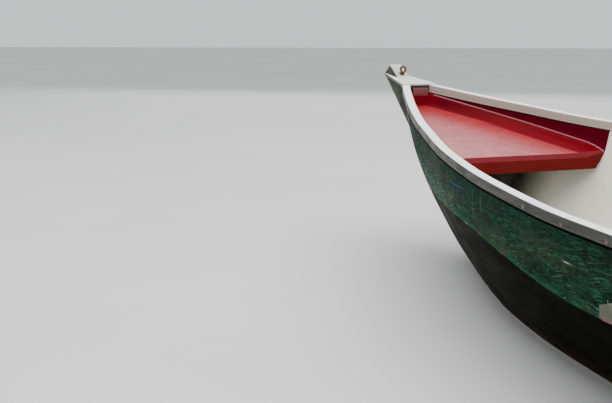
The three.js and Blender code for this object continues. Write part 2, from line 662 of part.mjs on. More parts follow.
// Clamp bracket hooked over the notch: inner jaws, a bridge, an outer plate and two ears with the tilt pin
function makeClampBracket() {
  const boardFace = TRANSOM_AFT + SEAT_GAP + MOTOR_BOARD.thickness + SEAT_GAP;
  const plateBack = boardFace + CLAMP.plate;
  const outline = [
    [CLAMP.jawAft, CLAMP.jawBottom], [CLAMP.jawAft, CLAMP.top - 18], [CLAMP.jawAft + 16, CLAMP.top],
    [plateBack, CLAMP.top], [plateBack, CLAMP.plateBottom], [boardFace, CLAMP.plateBottom],
    [boardFace, NOTCH.bottom + SEAT_GAP], [CLAMP.jawAft + 16, NOTCH.bottom + SEAT_GAP],
    [CLAMP.jawAft + 16, CLAMP.jawBottom],
  ];
  const frame = slab(outline.map(([aft, z]) => [atX(aft), z]), CLAMP.half);
  const window = box([atX(CLAMP.jawAft + 18), -34, 380], [atX(CLAMP.jawAft - 2), 34, 480]);
  const ears = [-1, 1].map((side) => {
    const shape = [
      [boardFace, 440], [boardFace, CLAMP.top], [PIN.aft - 22, 566], [PIN.aft + 16, 566], [PIN.aft + 26, PIN.height],
      [PIN.aft + 16, 522], [plateBack, 440],
    ];
    const cheek = box([-9000, side > 0 ? 54 : -CLAMP.half, 0], [9000, side > 0 ? CLAMP.half : -54, 900]);
    return slab(shape.map(([aft, z]) => [atX(aft), z]), CLAMP.half).intersect(cheek);
  });
  const screwHoles = union([-CLAMP.screwY, CLAMP.screwY].map((y) =>
    rod([atX(CLAMP.jawAft - 20), y, CLAMP.screwZ], [atX(CLAMP.jawAft + 40), y, CLAMP.screwZ], 8.4, 14)));
  const pin = rod([atX(PIN.aft), -80, PIN.height], [atX(PIN.aft), 80, PIN.height], PIN.radius, 20);
  return union([frame.subtract(window).subtract(screwHoles), ...ears, pin]);
}

// Clamp screw through one jaw, with a round foot on the liner's face and a cross bar to turn it by
function makeClampScrew(side) {
  const y = side * CLAMP.screwY;
  const foot = atX(TRANSOM_AFT - (LINER_BACK - HULL_FACE)) + SEAT_GAP;
  const head = atX(CLAMP.jawAft - 46);
  const screw = rod([foot, y, CLAMP.screwZ], [head + 6, y, CLAMP.screwZ], 8, 14);
  const pad = rod([foot, y, CLAMP.screwZ], [foot + 6, y, CLAMP.screwZ], 16, 18);
  const bar = rod([head, y, CLAMP.screwZ - 38], [head, y, CLAMP.screwZ + 38], 5, 10);
  const knobs = [-38, 38].map((rise) => {
    const knob = new THREE.SphereGeometry(8, 10, 6);
    knob.translate(head, y, CLAMP.screwZ + rise);
    return solidOf(knob);
  });
  return union([screw, pad, bar, ...knobs]);
}

// Swivel bracket: a sleeve on the tilt pin, and the upright tube that the leg turns in
function makeSwivel() {
  const sleeve = rod([atX(PIN.aft), -49, PIN.height], [atX(PIN.aft), 49, PIN.height], 19, 24);
  const column = rod([atX(STEER_AFT), 0, 330], [atX(STEER_AFT), 0, 565], 34, 28);
  const web = box([atX(STEER_AFT), -22, 470], [atX(PIN.aft), 22, 560]);
  const plateBack = atX(TRANSOM_AFT + SEAT_GAP + MOTOR_BOARD.thickness + SEAT_GAP + CLAMP.plate) - SEAT_GAP;
  const thrust = slab(
    [[atX(STEER_AFT), 420], [plateBack, 352], [plateBack, 318], [atX(STEER_AFT), 340]], 20,
  );
  const pinBore = rod([atX(PIN.aft), -60, PIN.height], [atX(PIN.aft), 60, PIN.height], PIN.radius + 0.5, 20);
  const legBore = rod([atX(STEER_AFT), 0, 300], [atX(STEER_AFT), 0, 600], LEG.radius + 0.6, 28);
  return union([sleeve, column, web, thrust]).subtract(pinBore).subtract(legBore);
}

// Leg: a round tube with a collar on each side of the swivel
function makeLeg() {
  const shaft = rod([atX(STEER_AFT), 0, LEG.bottom], [atX(STEER_AFT), 0, HEAD_BASE - SEAT_GAP], LEG.radius, 28);
  const upper = rod([atX(STEER_AFT), 0, 565.5], [atX(STEER_AFT), 0, 586], 33, 28);
  const lower = rod([atX(STEER_AFT), 0, 306], [atX(STEER_AFT), 0, 329.5], 33, 28);
  return union([shaft, upper, lower]);
}

// Plan outline of the motor head: straight in front, rounded behind
function headPlan(grow) {
  const front = atX(STEER_AFT) + COWL.front + grow;
  const rear = atX(STEER_AFT) - COWL.rear - grow;
  const half = COWL.half + grow;
  const shape = new THREE.Shape();
  const corner = 26;
  shape.moveTo(front - corner, -half);
  shape.quadraticCurveTo(front, -half, front, -half + corner);
  shape.lineTo(front, half - corner);
  shape.quadraticCurveTo(front, half, front - corner, half);
  shape.lineTo(rear + 60, half);
  shape.quadraticCurveTo(rear, half, rear, half - 60);
  shape.lineTo(rear, -half + 60);
  shape.quadraticCurveTo(rear, -half, rear + 60, -half);
  shape.closePath();
  return shape;
}

function headSlice(grow, low, high) {
  const geometry = new THREE.ExtrudeGeometry(headPlan(grow), {
    depth: high - low, bevelEnabled: false, curveSegments: 5,
  });
  geometry.translate(0, 0, low);
  return solidOf(geometry);
}

function makeHeadTray() {
  return headSlice(-7, HEAD_BASE, HEAD_BASE + COWL.tray);
}

// White cap: straight front, sloping rear and leaning sides, with rounded top edges
function makeCowl() {
  const base = HEAD_BASE + COWL.tray + SEAT_GAP;
  const levels = [[0, 0], [10, 1.5], [COWL.height - 30, 13], [COWL.height - 10, 19], [COWL.height, 30]];
  const points = headPlan(0).getPoints(5).slice(0, -1);
  const middle = atX(STEER_AFT);
  const rings = levels.map(([rise, draw]) => points.map(({ x, y }) => {
    const ahead = x > middle;
    const reach = ahead ? COWL.front : COWL.rear;
    const pull = ahead ? draw * 0.35 : draw * 1.6;
    return [middle + (x - middle) * (1 - pull / reach), y * (1 - draw / COWL.half), base + rise];
  }));
  return stack(rings);
}

// Tiller: an arm on a cross pin in the head's front bracket, and the grip on its end
const tillerX = atX(STEER_AFT) + COWL.front + TILLER.clear;
const tillerZ = HEAD_BASE + TILLER.rise;

function makeTillerBracket() {
  const back = atX(STEER_AFT) + COWL.front + 2;
  const cheeks = [-1, 1].map((side) => slab(
    [[back - 30, HEAD_BASE - 14], [back + 12, HEAD_BASE - 14], [tillerX + 14, tillerZ - 12], [tillerX + 14, tillerZ + 12],
      [back, tillerZ + 14], [back, HEAD_BASE - SEAT_GAP], [back - 30, HEAD_BASE - SEAT_GAP]],
    27,
  ).intersect(box([-9000, side > 0 ? 19 : -27, 0], [9000, side > 0 ? 27 : -19, 1200])));
  const tie = box([back - 30, -27, HEAD_BASE - 14], [back + 8, 27, HEAD_BASE - SEAT_GAP]);
  const neck = box([atX(STEER_AFT) - 30, -27, HEAD_BASE - 14], [back - 20, 27, HEAD_BASE - SEAT_GAP]);
  const bore = rod([atX(STEER_AFT), 0, 500], [atX(STEER_AFT), 0, 800], LEG.radius + SEAT_GAP, 28);
  const pin = rod([tillerX, -30, tillerZ], [tillerX, 30, tillerZ], 6, 16);
  return union([...cheeks, tie, neck]).subtract(bore).add(pin);
}

function makeTillerArm() {
  const eye = rod([tillerX, -17.5, tillerZ], [tillerX, 17.5, tillerZ], 15, 20);
  const arm = rod([tillerX, 0, tillerZ], [tillerX + TILLER.arm, 0, tillerZ], 13, 16, 12);
  const bore = rod([tillerX, -30, tillerZ], [tillerX, 30, tillerZ], 6.5, 16);
  return eye.add(arm).subtract(bore);
}

function makeTillerGrip() {
  const from = tillerX + TILLER.arm + SEAT_GAP;
  const profile = [[0, 0], [16, 0], [18.5, 8], [17, 60], [18.5, TILLER.grip - 12], [15, TILLER.grip], [0, TILLER.grip]];
  const geometry = new THREE.LatheGeometry(profile.map(([r, h]) => new THREE.Vector2(r, h)), 18);
  geometry.rotateZ(-Math.PI / 2);
  geometry.translate(from, 0, tillerZ);
  const solid = solidOf(geometry);
  return solid;
}

// Motor pod: a round body with a rounded nose, joined to the foot of the leg
function makePod() {
  const front = atX(STEER_AFT) + POD.front;
  const r = POD.radius;
  const profile = [[0, 0], [20, 3], [36, 14], [46, 34], [r, 62], [r, POD.length - 30], [42, POD.length - 4],
    [34, POD.length], [0, POD.length]];
  const geometry = new THREE.LatheGeometry(profile.map(([radius, h]) => new THREE.Vector2(radius, h)), 24);
  geometry.rotateZ(Math.PI / 2);
  geometry.translate(front, 0, POD.height);
  const saddle = rod([atX(STEER_AFT), 0, POD.height + 20], [atX(STEER_AFT), 0, LEG.bottom - SEAT_GAP], 30, 24, 26);
  const rear = front - POD.length;
  const shaft = rod([rear + 10, 0, POD.height], [rear - PROP.gap - PROP.shaftLength, 0, POD.height], PROP.shaftRadius, 16);
  return solidOf(geometry).add(saddle).add(shaft);
}

// Fin below the pod
function makeFin() {
  const low = POD.height - 150;
  const top = POD.height - POD.radius + 14;
  const middle = atX(STEER_AFT);
  const blade = slab([[middle + 70, top], [middle + 20, low], [middle - 70, low], [middle - 95, top]], 4);
  const body = rod([middle + 200, 0, POD.height], [middle - 300, 0, POD.height], POD.radius + SEAT_GAP, 24);
  return blade.subtract(body);
}

// Propeller: a hub with twisted blades from one loop
function makePropeller() {
  const front = atX(STEER_AFT) + POD.front - POD.length - PROP.gap;
  const profile = [[0, 0], [PROP.hubRadius, 0], [PROP.hubRadius, 34], [24, 48], [10, PROP.hubLength], [0, PROP.hubLength]];
  const hub = new THREE.LatheGeometry(profile.map(([r, h]) => new THREE.Vector2(r, h)), 20);
  hub.rotateZ(Math.PI / 2);
  hub.translate(front, 0, POD.height);
  const blades = [];
  for (let i = 0; i < PROP.blades; i += 1) {
    blades.push(makeBlade((2 * Math.PI * i) / PROP.blades, front - 20));
  }
  const bore = rod(
    [front + 5, 0, POD.height], [front - PROP.shaftLength - 5, 0, POD.height], PROP.shaftRadius + 0.5, 16,
  );
  return union([solidOf(hub), ...blades]).subtract(bore);
}

// Blade rows: radius, chord and pitch angle in degrees
const BLADE_ROWS = [[24, 34, 58], [55, 62, 42], [85, 70, 33], [112, 54, 27], [128, 22, 24]];

function makeBlade(turn, x) {
  const rings = BLADE_ROWS.map(([radius, chord, pitch]) => {
    const angle = THREE.MathUtils.degToRad(pitch);
    const thick = 2.6;
    const corners = [[-1, -1], [1, -1], [1, 1], [-1, 1]];
    return corners.map(([along, across]) => {
      const u = (along * chord) / 2;
      const v = across * thick;
      return [u * Math.sin(angle) + v * Math.cos(angle), u * Math.cos(angle) - v * Math.sin(angle), radius];
    });
  });
  const geometry = skinThrough(rings, ([u, v]) => [u, v]);
  geometry.rotateX(turn);
  geometry.translate(x, 0, POD.height);
  return facingOut(geometry);
}

// Hull and its fittings
addMesh("hull_shell", makeHull(), "hull");
addMesh("inner_liner", makeLiner(), "cream");
addMesh("stem_bar", makeStem(), "stem");
addMesh("stem_cap", makeCap(), "alloy");
addMesh("stem_head", makeHead(), "dark");
addMesh("breasthook_plate", makeBreasthook(), "alloy");
addMesh("mooring_eye", makeEye(), "copper");
addMesh("gunwale_port", makeRail(1), "alloy");
addMesh("gunwale_starboard", makeRail(-1), "alloy");
addMesh("transom_cap", makeTransomCap(), "alloy");
addMesh("bow_moulding", makeBowMoulding(), "red");
addMesh("cockpit_sole", makeSole(), "sole");
addMesh("bench_port", makeBench(1), "bench");
addMesh("bench_starboard", makeBench(-1), "bench");
addMesh("battery_port", makeBattery(1), "black");
addMesh("battery_starboard", makeBattery(-1), "black");
addMesh("keel_strip", makeKeel(), "timber");
addMesh("skeg", makeSkeg(), "hull");
addMesh("side_pad_port", makePad(1), "stem");
addMesh("side_pad_starboard", makePad(-1), "stem");
addMesh("motor_guard", makeGuard(), "steel");
addMesh("motor_board", makeMotorBoard(), "timber");

// Motor
addMesh("clamp_bracket", makeClampBracket(), "black");
addMesh("clamp_screw_port", makeClampScrew(1), "steel");
addMesh("clamp_screw_starboard", makeClampScrew(-1), "steel");
addMesh("swivel_bracket", makeSwivel(), "leaf");
addMesh("motor_leg", makeLeg(), "steel");
addMesh("head_tray", makeHeadTray(), "black");
addMesh("motor_cap", makeCowl(), "cowl");
addMesh("tiller_bracket", makeTillerBracket(), "black");
addMesh("tiller_arm", makeTillerArm(), "black");
addMesh("tiller_grip", makeTillerGrip(), "black");
addMesh("motor_pod", makePod(), "black");
addMesh("pod_fin", makeFin(), "black");
addMesh("propeller", makePropeller(), "black");

part.updateMatrixWorld(true);
export default part;
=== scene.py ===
"""Looks of an open launch: moulded skins, alloy gunwales, a red bow platform and a tiller-steered motor.

Every length is in metres in the frame of the solid model: +X to the bow, +Y to port, +Z up, with the origin
on the waterline and the centre plane. Distances named aft start BASE_X ahead of the origin. Heights given to
the mesh tools start from a baseline WATER_RISE under the water's surface, and mesh_piece lowers what it makes
by that much.
"""

import logging
import math
from dataclasses import dataclass
from enum import Enum, IntEnum
from typing import Any, Iterable, Sequence

import bmesh
import bpy
from mathutils import Matrix, Vector


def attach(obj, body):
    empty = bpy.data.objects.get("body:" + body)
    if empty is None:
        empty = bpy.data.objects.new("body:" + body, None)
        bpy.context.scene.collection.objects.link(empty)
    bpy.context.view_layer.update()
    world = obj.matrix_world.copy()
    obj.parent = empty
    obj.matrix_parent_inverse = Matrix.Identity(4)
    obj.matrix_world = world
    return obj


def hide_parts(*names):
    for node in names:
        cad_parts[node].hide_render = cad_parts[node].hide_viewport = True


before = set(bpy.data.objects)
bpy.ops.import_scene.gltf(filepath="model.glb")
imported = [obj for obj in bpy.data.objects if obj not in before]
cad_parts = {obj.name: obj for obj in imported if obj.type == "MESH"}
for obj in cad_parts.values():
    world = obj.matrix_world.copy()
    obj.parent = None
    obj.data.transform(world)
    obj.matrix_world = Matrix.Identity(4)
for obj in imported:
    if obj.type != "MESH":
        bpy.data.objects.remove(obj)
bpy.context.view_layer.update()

LOG = logging.getLogger("launch")

Pair = tuple[float, float]
Triple = tuple[float, float, float]
Point = Triple
Color = Triple
Piece = bpy.types.Object

# Places along the boat and the water's height
BASE_X = 2.9
WATER_RISE = 0.042
TRANSOM_AFT = 5.8

# Space between touching pieces, and the distance under which two points are joined
SEAT_GAP = 0.0003
JOIN_DISTANCE = 2e-6


class Body(Enum):
    """Rigid bodies of the model that pieces ride on."""

    HULL = "hull"
    TILT = "tilt_unit"
    STEER = "steer_unit"
    TILLER = "tiller"
    PROPELLER = "propeller_unit"


class Side(Enum):
    """Sides of the boat, with the sign of their y."""

    PORT = 1
    STARBOARD = -1

    @property
    def word(self) -> str:
        """Name of the side as the nodes spell it."""
        return self.name.lower()


class Operation(Enum):
    """Ways to shape one closed piece by another."""

    DIFFERENCE = "DIFFERENCE"
    INTERSECT = "INTERSECT"


# Shader graphs


@dataclass(frozen=True)
class Signal:
    """A socket that carries one number, with arithmetic that adds Math nodes."""

    graph: "Graph"
    socket: bpy.types.NodeSocket

    def __add__(self, other: "Signal | float") -> "Signal":
        """Sum."""
        return self.graph.math("ADD", self, other)

    def __radd__(self, other: float) -> "Signal":
        """Sum with a number on the left."""
        return self.graph.math("ADD", other, self)

    def __sub__(self, other: "Signal | float") -> "Signal":
        """Difference."""
        return self.graph.math("SUBTRACT", self, other)

    def __rsub__(self, other: float) -> "Signal":
        """Difference from a number on the left."""
        return self.graph.math("SUBTRACT", other, self)

    def __mul__(self, other: "Signal | float") -> "Signal":
        """Product."""
        return self.graph.math("MULTIPLY", self, other)

    def __rmul__(self, other: float) -> "Signal":
        """Product with a number on the left."""
        return self.graph.math("MULTIPLY", other, self)

    def __abs__(self) -> "Signal":
        """Size without its sign."""
        return self.graph.math("ABSOLUTE", self)

    def ramp(self, low: float, high: float) -> "Signal":
        """Smooth step of the signal.

        Args:
            low: Value of the signal that gives 0.
            high: Value that gives 1.

        Returns:
            The stepped signal, held between 0 and 1.
        """
        flipped = low > high
        node = self.graph.node(
            "ShaderNodeMapRange",
            {"interpolation_type": "SMOOTHSTEP", "clamp": True},
            {"Value": self, "From Min": min(low, high), "From Max": max(low, high)},
        )
        step = Signal(self.graph, node.outputs["Result"])
        return 1.0 - step if flipped else step


class Graph:
    """The node tree of one material."""

    def __init__(self, name: str) -> None:
        """Starts an empty material.

        Args:
            name: Name of the material.
        """
        self.material = bpy.data.materials.new(name)
        self.material.use_nodes = True
        self.tree = self.material.node_tree
        self.tree.nodes.clear()
        self._place: Signal | None = None

    def node(
        self, kind: str, settings: dict[str, Any] | None = None, inputs: dict[Any, Any] | None = None
    ) -> bpy.types.Node:
        """Adds one node.

        Args:
            kind: Type of the node.
            settings: Attributes that are set first.
            inputs: Values or signals of its sockets, by name or index.

        Returns:
            The node.
        """
        made = self.tree.nodes.new(kind)
        for key, value in (settings or {}).items():
            setattr(made, key, value)
        for key, value in (inputs or {}).items():
            self.feed(made.inputs[key], value)
        return made

    def feed(self, socket: bpy.types.NodeSocket, value: Any) -> None:
        """Links a signal to a socket, or sets the socket's own value."""
        if isinstance(value, Signal):
            self.tree.links.new(value.socket, socket)
        else:
            socket.default_value = value

    def math(self, operation: str, *terms: "Signal | float") -> Signal:
        """Adds a Math node.

        Args:
            operation: The node's operation.
            terms: Its inputs in order.

        Returns:
            Its result.
        """
        node = self.node("ShaderNodeMath", {"operation": operation}, dict(enumerate(terms)))
        return Signal(self, node.outputs[0])

    def vector(self, operation: str, *terms: Any) -> Signal:
        """Adds a Vector Math node and returns its vector."""
        node = self.node("ShaderNodeVectorMath", {"operation": operation}, dict(enumerate(terms)))
        return Signal(self, node.outputs["Vector"])

    def place(self) -> Signal:
        """Position on the piece in metres."""
        if self._place is None:
            self._place = Signal(self, self.node("ShaderNodeTexCoord").outputs["Object"])
        return self._place

    def split(self, vector: Signal) -> tuple[Signal, Signal, Signal]:
        """The three parts of a vector."""
        node = self.node("ShaderNodeSeparateXYZ", inputs={0: vector})
        return tuple(Signal(self, socket) for socket in node.outputs)

    def facing(self) -> tuple[Signal, Signal, Signal]:
        """The parts of the surface's own normal."""
        return self.split(Signal(self, self.node("ShaderNodeTexCoord").outputs["Normal"]))

    def joined(self, x: Any, y: Any, z: Any) -> Signal:
        """A vector of three signals or numbers."""
        node = self.node("ShaderNodeCombineXYZ", inputs={0: x, 1: y, 2: z})
        return Signal(self, node.outputs[0])

    def noise(
        self,
        scale: float,
        stretch: Point = (1, 1, 1),
        detail: float = 4.0,
        rough: float = 0.55,
        at: Signal | None = None,
    ) -> Signal:
        """Cloudy noise between 0 and 1.

        Args:
            scale: Number of clouds to a metre.
            stretch: Factor on each axis; a small one draws the clouds out.
            detail: Number of finer layers.
            rough: Strength of the finer layers.
            at: Position, or None for the position on the piece.

        Returns:
            The noise.
        """
        where = self.vector("MULTIPLY", at or self.place(), stretch)
        node = self.node(
            "ShaderNodeTexNoise",
            inputs={"Vector": where, "Scale": scale, "Detail": detail, "Roughness": rough},
        )
        return Signal(self, node.outputs["Fac"])

    def mix(self, share: Signal | float, low: Any, high: Any) -> Signal:
        """Mixes two colours.

        Args:
            share: 0 for the first colour, 1 for the second.
            low: Colour or signal.
            high: Colour or signal.

        Returns:
            The mixed colour.
        """
        node = self.node("ShaderNodeMix", {"data_type": "RGBA"})
        self.feed(node.inputs[0], share)
        for index, value in ((6, low), (7, high)):
            self.feed(node.inputs[index], value if isinstance(value, Signal) else (*value, 1.0))
        return Signal(self, node.outputs[2])

    def bump(self, height: Signal, depth: float, strength: float = 1.0) -> Signal:
        """Normal of a height signal that is depth metres deep."""
        node = self.node("ShaderNodeBump", inputs={"Height": height, "Distance": depth, "Strength": strength})
        return Signal(self, node.outputs["Normal"])

    def close(self, fixed: dict[str, Any], varying: dict[str, Signal]) -> bpy.types.Material:
        """Adds the shader and the output.

        Args:
            fixed: Values that are the same all over, by socket name.
            varying: Signals by socket name.

        Returns:
            The finished material.
        """
        shader = self.node("ShaderNodeBsdfPrincipled", inputs={**fixed, **varying})
        self.node("ShaderNodeOutputMaterial", inputs={"Surface": Signal(self, shader.outputs[0])})
        return self.material


# Finishes


@dataclass(frozen=True)
class Finish:
    """A finish of one colour with faint clouding, on which the others build."""

    name: str
    slot: str
    color: Color
    rough: float
    metal: float = 0.0
    coat: float = 0.0
    grain: float = 60.0
    cloud: float = 0.16
    relief: float = 0.00008
    shine: float = 0.5

    def fixed(self) -> dict[str, Any]:
        """Values that are the same all over the surface."""
        return {
            "Metallic": self.metal, "Coat Weight": self.coat, "Coat Roughness": 0.06, "IOR": 1.5,
            "Specular IOR Level": self.shine,
        }

    def clouded(self, g: Graph, color: Any) -> Signal:
        """A colour with soft darker and lighter clouds.

        Args:
            g: Graph to build in.
            color: Colour or signal.

        Returns:
            The clouded colour.
        """
        patch = g.noise(self.grain * 0.08, detail=5.0).ramp(0.3, 0.7)
        fine = g.noise(self.grain, detail=3.0).ramp(0.35, 0.65)
        dark = g.mix(1.0 - self.cloud, (0.0, 0.0, 0.0), color)
        return g.mix(0.6 * patch + 0.4 * fine, dark, color)

    def varying(self, g: Graph) -> dict[str, Signal]:
        """What changes over the surface.

        Args:
            g: Graph to build in.

        Returns:
            The signals by socket name.
        """
        fine = g.noise(self.grain * 4.0, detail=3.0)
        return {
            "Base Color": self.clouded(g, self.color),
            "Roughness": self.rough * (0.85 + 0.3 * g.noise(self.grain * 0.3)),
            "Normal": g.bump(fine, self.relief),
        }

    def material(self) -> bpy.types.Material:
        """Builds the material once and returns it."""
        name = f"{self.name}_look"
        made = bpy.data.materials.get(name)
        if made is None:
            g = Graph(name)
            made = g.close(self.fixed(), self.varying(g))
        return made


@dataclass(frozen=True)
class Mark:
    """A mark on the topsides: a slanted ellipse of its own colour, a scuff in most cases and a painted
    highlight in one.
    """

    x: float
    z: float
    long: float
    high: float
    slant: float
    color: Color


@dataclass(frozen=True)
class HullPaint(Finish):
    """Scuffed green topsides over a near-black bottom, with painted shade under the rail, a painted sheen on
    the black, and a bright band at the bilge that is partly wear and partly a painted highlight.
    """

    bottom: Color = (0.0012, 0.0010, 0.0006)
    # Painted reflection: a lighter sheen on the black bottom towards the bow, in place of the sky's
    # reflection.
    sheen: Color = (0.016, 0.0155, 0.0115)
    deep: Color = (0.0015, 0.008, 0.005)
    teal: Color = (0.003, 0.036, 0.029)
    pale: Color = (0.021, 0.092, 0.052)
    scratch: Color = (0.13, 0.34, 0.185)
    # Partly wear, partly painted highlight: the bright band where the bilge turns and catches the light.
    bright: Color = (0.022, 0.13, 0.060)
    chip: Color = (0.55, 0.48, 0.26)
    worn: Color = (0.070, 0.165, 0.110)
    olive: Color = (0.030, 0.042, 0.026)
    scum: Color = (0.045, 0.020, 0.008)
    # Painted highlight: pale line at the waterline, in place of the water's edge catching the sky.
    rim: Color = (0.42, 0.40, 0.35)
    line: float = 0.276
    rise: float = 0.083
    marks: tuple[Mark, ...] = (
        Mark(1.10, 0.483, 0.085, 0.0035, 0.05, (0.02, 0.08, 0.2)),
        Mark(0.77, 0.337, 0.022, 0.008, 0.3, (0.13, 0.03, 0.02)),
        Mark(0.35, 0.406, 0.034, 0.0022, 0.12, (0.5, 0.52, 0.42)),
        Mark(0.94, 0.452, 0.006, 0.055, -0.6, (0.045, 0.10, 0.07)),
        Mark(0.86, 0.464, 0.005, 0.04, -0.55, (0.04, 0.09, 0.062)),
        Mark(0.21, 0.344, 0.003, 0.007, -0.6, (0.40, 0.40, 0.35)),
        Mark(1.25, 0.356, 0.03, 0.003, 0.0, (0.5, 0.45, 0.25)),
        Mark(1.09, 0.357, 0.04, 0.003, 0.0, (0.55, 0.5, 0.3)),
        # Painted highlight: a pale streak in place of light along the bow's silhouette.
        Mark(2.150, 0.588, 0.016, 0.05, 0.57, (0.62, 0.58, 0.42)),
        Mark(1.66, 0.336, 0.05, 0.09, 0.9, (0.03, 0.12, 0.055)),
        Mark(0.262, 0.245, 0.05, 0.014, 0.0, (0.05, 0.03, 0.016)),
    )

    def marked(self, g: Graph, color: Signal, at: tuple[Signal, Signal], mark: Mark) -> Signal:
        """Lays one mark over the paint, at the same place on both sides of the boat.

        Args:
            g: Graph to build in.
            color: Colour under the mark.
            at: Place along the boat and height.
            mark: The mark.

        Returns:
            The marked colour.
        """
        x, z = at
        along = (x - mark.x - mark.slant * (z - mark.z)) * (1.0 / mark.long)
        upright = (z - mark.z) * (1.0 / mark.high)
        broken = g.noise(130.0, (0.4, 0.4, 1.0), 3.0).ramp(0.36, 0.56)
        oval = (along * along + upright * upright).ramp(1.4, 0.3)
        return g.mix(oval * broken * 0.75, color, mark.color)

    def boundary(self, g: Graph, x: Signal) -> Signal:
        """Height of the worn line between the green and the black."""
        edge = self.line + self.rise * x.ramp(0.36, 1.16) - 0.018 * x.ramp(1.22, 1.65)
        return edge + 0.008 * (g.noise(11.0) - 0.5)

    def scratched(self, g: Graph, bent: Signal, fan: Signal) -> Signal:
        """Fine scratches along the boat in two directions, and a few upright ones.

        Args:
            g: Graph to build in.
            bent: Position for the finest scratches.
            fan: Position for the longer ones.

        Returns:
            Where the paint is scratched, and how much.
        """
        x, _, z = g.split(g.place())
        hair = g.noise(1.0, (18.0, 18.0, 230.0), 4.0, 0.7, bent).ramp(0.58, 0.66)
        thread = g.noise(1.0, (14.0, 14.0, 330.0), 3.0, 0.65, fan).ramp(0.57, 0.64)
        gate = g.noise(5.0, (1, 1, 1.5), 4.0).ramp(0.36, 0.56)
        cross = g.noise(1.0, (170.0, 170.0, 7.0), 5.0, 0.7).ramp(0.70, 0.78)
        fore = x.ramp(0.9, 1.5)
        lines = hair * (0.45 + 0.55 * fore) + thread * (0.45 + 0.85 * fore)
        return lines * gate * (1.0 - 0.55 * z.ramp(0.40, 0.52)) + cross * 0.17

    def mottled(self, g: Graph, blotch: Signal, bent: Signal) -> Signal:
        """Green paint, bluer near the rail and darkened there by painted shade under the rail, most towards
        the bow.

        Args:
            g: Graph to build in.
            blotch: Where the paint is lighter.
            bent: Position for the streaks along the boat.

        Returns:
            The colour.
        """
        x, _, z = g.split(g.place())
        high, upper = z.ramp(0.40, 0.52), z.ramp(0.37, 0.47)
        spot = g.noise(38.0, (0.6, 0.6, 1.6), 6.0, 0.7).ramp(0.5, 0.68)
        streak = g.noise(1.0, (8.0, 8.0, 80.0), 6.0, 0.72, bent).ramp(0.48, 0.66)
        drab = g.noise(4.0, (1, 1, 2.0), 5.0).ramp(0.40, 0.60)
        fleck = g.noise(1.0, (52.0, 52.0, 105.0), 5.0, 0.75)
        green = g.mix(blotch, self.deep, self.color)
        # Bluer and darker near the rail: partly the paint's own tone, partly painted shade under the rail.
        green = g.mix(high * 0.75, green, g.mix(blotch, self.deep, self.teal))
        green = g.mix(streak * (1.0 - 0.6 * high) * 0.7, green, self.pale)
        green = g.mix(spot * 0.55, green, self.deep)
        green = g.mix(drab * (0.65 - 0.5 * high), green, self.olive)
        # Painted shade: darker green under the rail towards the bow.
        green = g.mix(x.ramp(0.8, 1.5) * upper * 0.75, green, self.deep)
        green = g.mix(fleck.ramp(0.50, 0.60) * 0.8, green, self.deep)
        flecked = fleck.ramp(0.45, 0.36) * (0.25 + 0.75 * x.ramp(0.9, 1.6)) * (1.0 - 0.55 * upper)
        return g.mix(flecked, green, self.worn)

    def rubbed(self, g: Graph, green: Signal, scored: Signal, above: Signal) -> Signal:
        """Lays the scratches over the paint, and brightens and chips it just over the boundary line: the
        chips are wear, and the bright band is partly rubbed paint and partly a painted highlight where the
        bilge turns.

        Args:
            g: Graph to build in.
            green: Colour of the paint.
            scored: Where it is scratched.
            above: Height over the boundary line.

        Returns:
            The worn colour.
        """
        near = above.ramp(0.05, 0.0)
        green = g.mix(scored * (0.58 + 0.37 * above.ramp(0.16, 0.02)), green, self.scratch)
        # Bright band over the boundary: partly rubbed paint, partly a painted highlight where the bilge
        # turns.
        rub_and_highlight = near * near * g.noise(24.0, (0.5, 0.5, 2.0), 5.0, 0.7).ramp(0.40, 0.62)
        green = g.mix(rub_and_highlight * 0.6, green, self.bright)
        chipped = near * near * g.noise(60.0, (0.5, 0.5, 1.6), 5.0, 0.7).ramp(0.64, 0.70)
        return g.mix(chipped * 0.8, green, self.chip)

    def underneath(self, g: Graph) -> Signal:
        """Black bottom paint with a painted sheen towards the bow, a brown scum above the water and a thin
        painted highlight at the waterline.

        Args:
            g: Graph to build in.

        Returns:
            The colour.
        """
        x, _, z = g.split(g.place())
        cloud = g.noise(5.0, (1, 1, 2.0), 4.0).ramp(0.3, 0.7)
        # Painted reflection: the black is lightened towards the bow and above the water.
        black = g.mix(cloud * x.ramp(0.5, 1.6) * z.ramp(0.02, 0.2), self.bottom, self.sheen)
        wet = z.ramp(0.10, 0.02) * g.noise(18.0, (1, 1, 3.0), 5.0).ramp(0.35, 0.65)
        black = g.mix(wet * 0.85, black, self.scum)
        # Painted highlight: a thin pale line just at the waterline.
        return g.mix(z.ramp(0.0085, 0.006) * z.ramp(-0.004, -0.001), black, self.rim)

    def varying(self, g: Graph) -> dict[str, Signal]:
        """Green over black, with scratches that run along the boat and slant down towards the bow.

        Args:
            g: Graph to build in.

        Returns:
            The signals by socket name.
        """
        x, y, z = g.split(g.place())
        wave = g.noise(3.2, detail=2.0) - 0.5
        bent = g.joined(x, y, z + 0.08 * x + 0.07 * wave)
        fan = g.joined(x, y, z + 0.17 * x + 0.09 * wave)
        edge = self.boundary(g, x)
        under = (edge - z).ramp(-0.002, 0.002)
        blotch = g.noise(9.0, (0.7, 0.7, 1.9), 7.0, 0.68).ramp(0.34, 0.64)
        scored = self.scratched(g, bent, fan)
        green = self.rubbed(g, self.mottled(g, blotch, bent), scored, z - edge)
        for mark in self.marks:
            green = self.marked(g, green, (x, z), mark)
        return {
            "Base Color": g.mix(under, green, self.underneath(g)),
            "Roughness": 0.46 + 0.12 * blotch + 0.12 * scored * (1.0 - under),
            "Normal": g.bump(g.noise(30.0, (1, 1, 4)) + 0.6 * scored, 0.0004),
        }


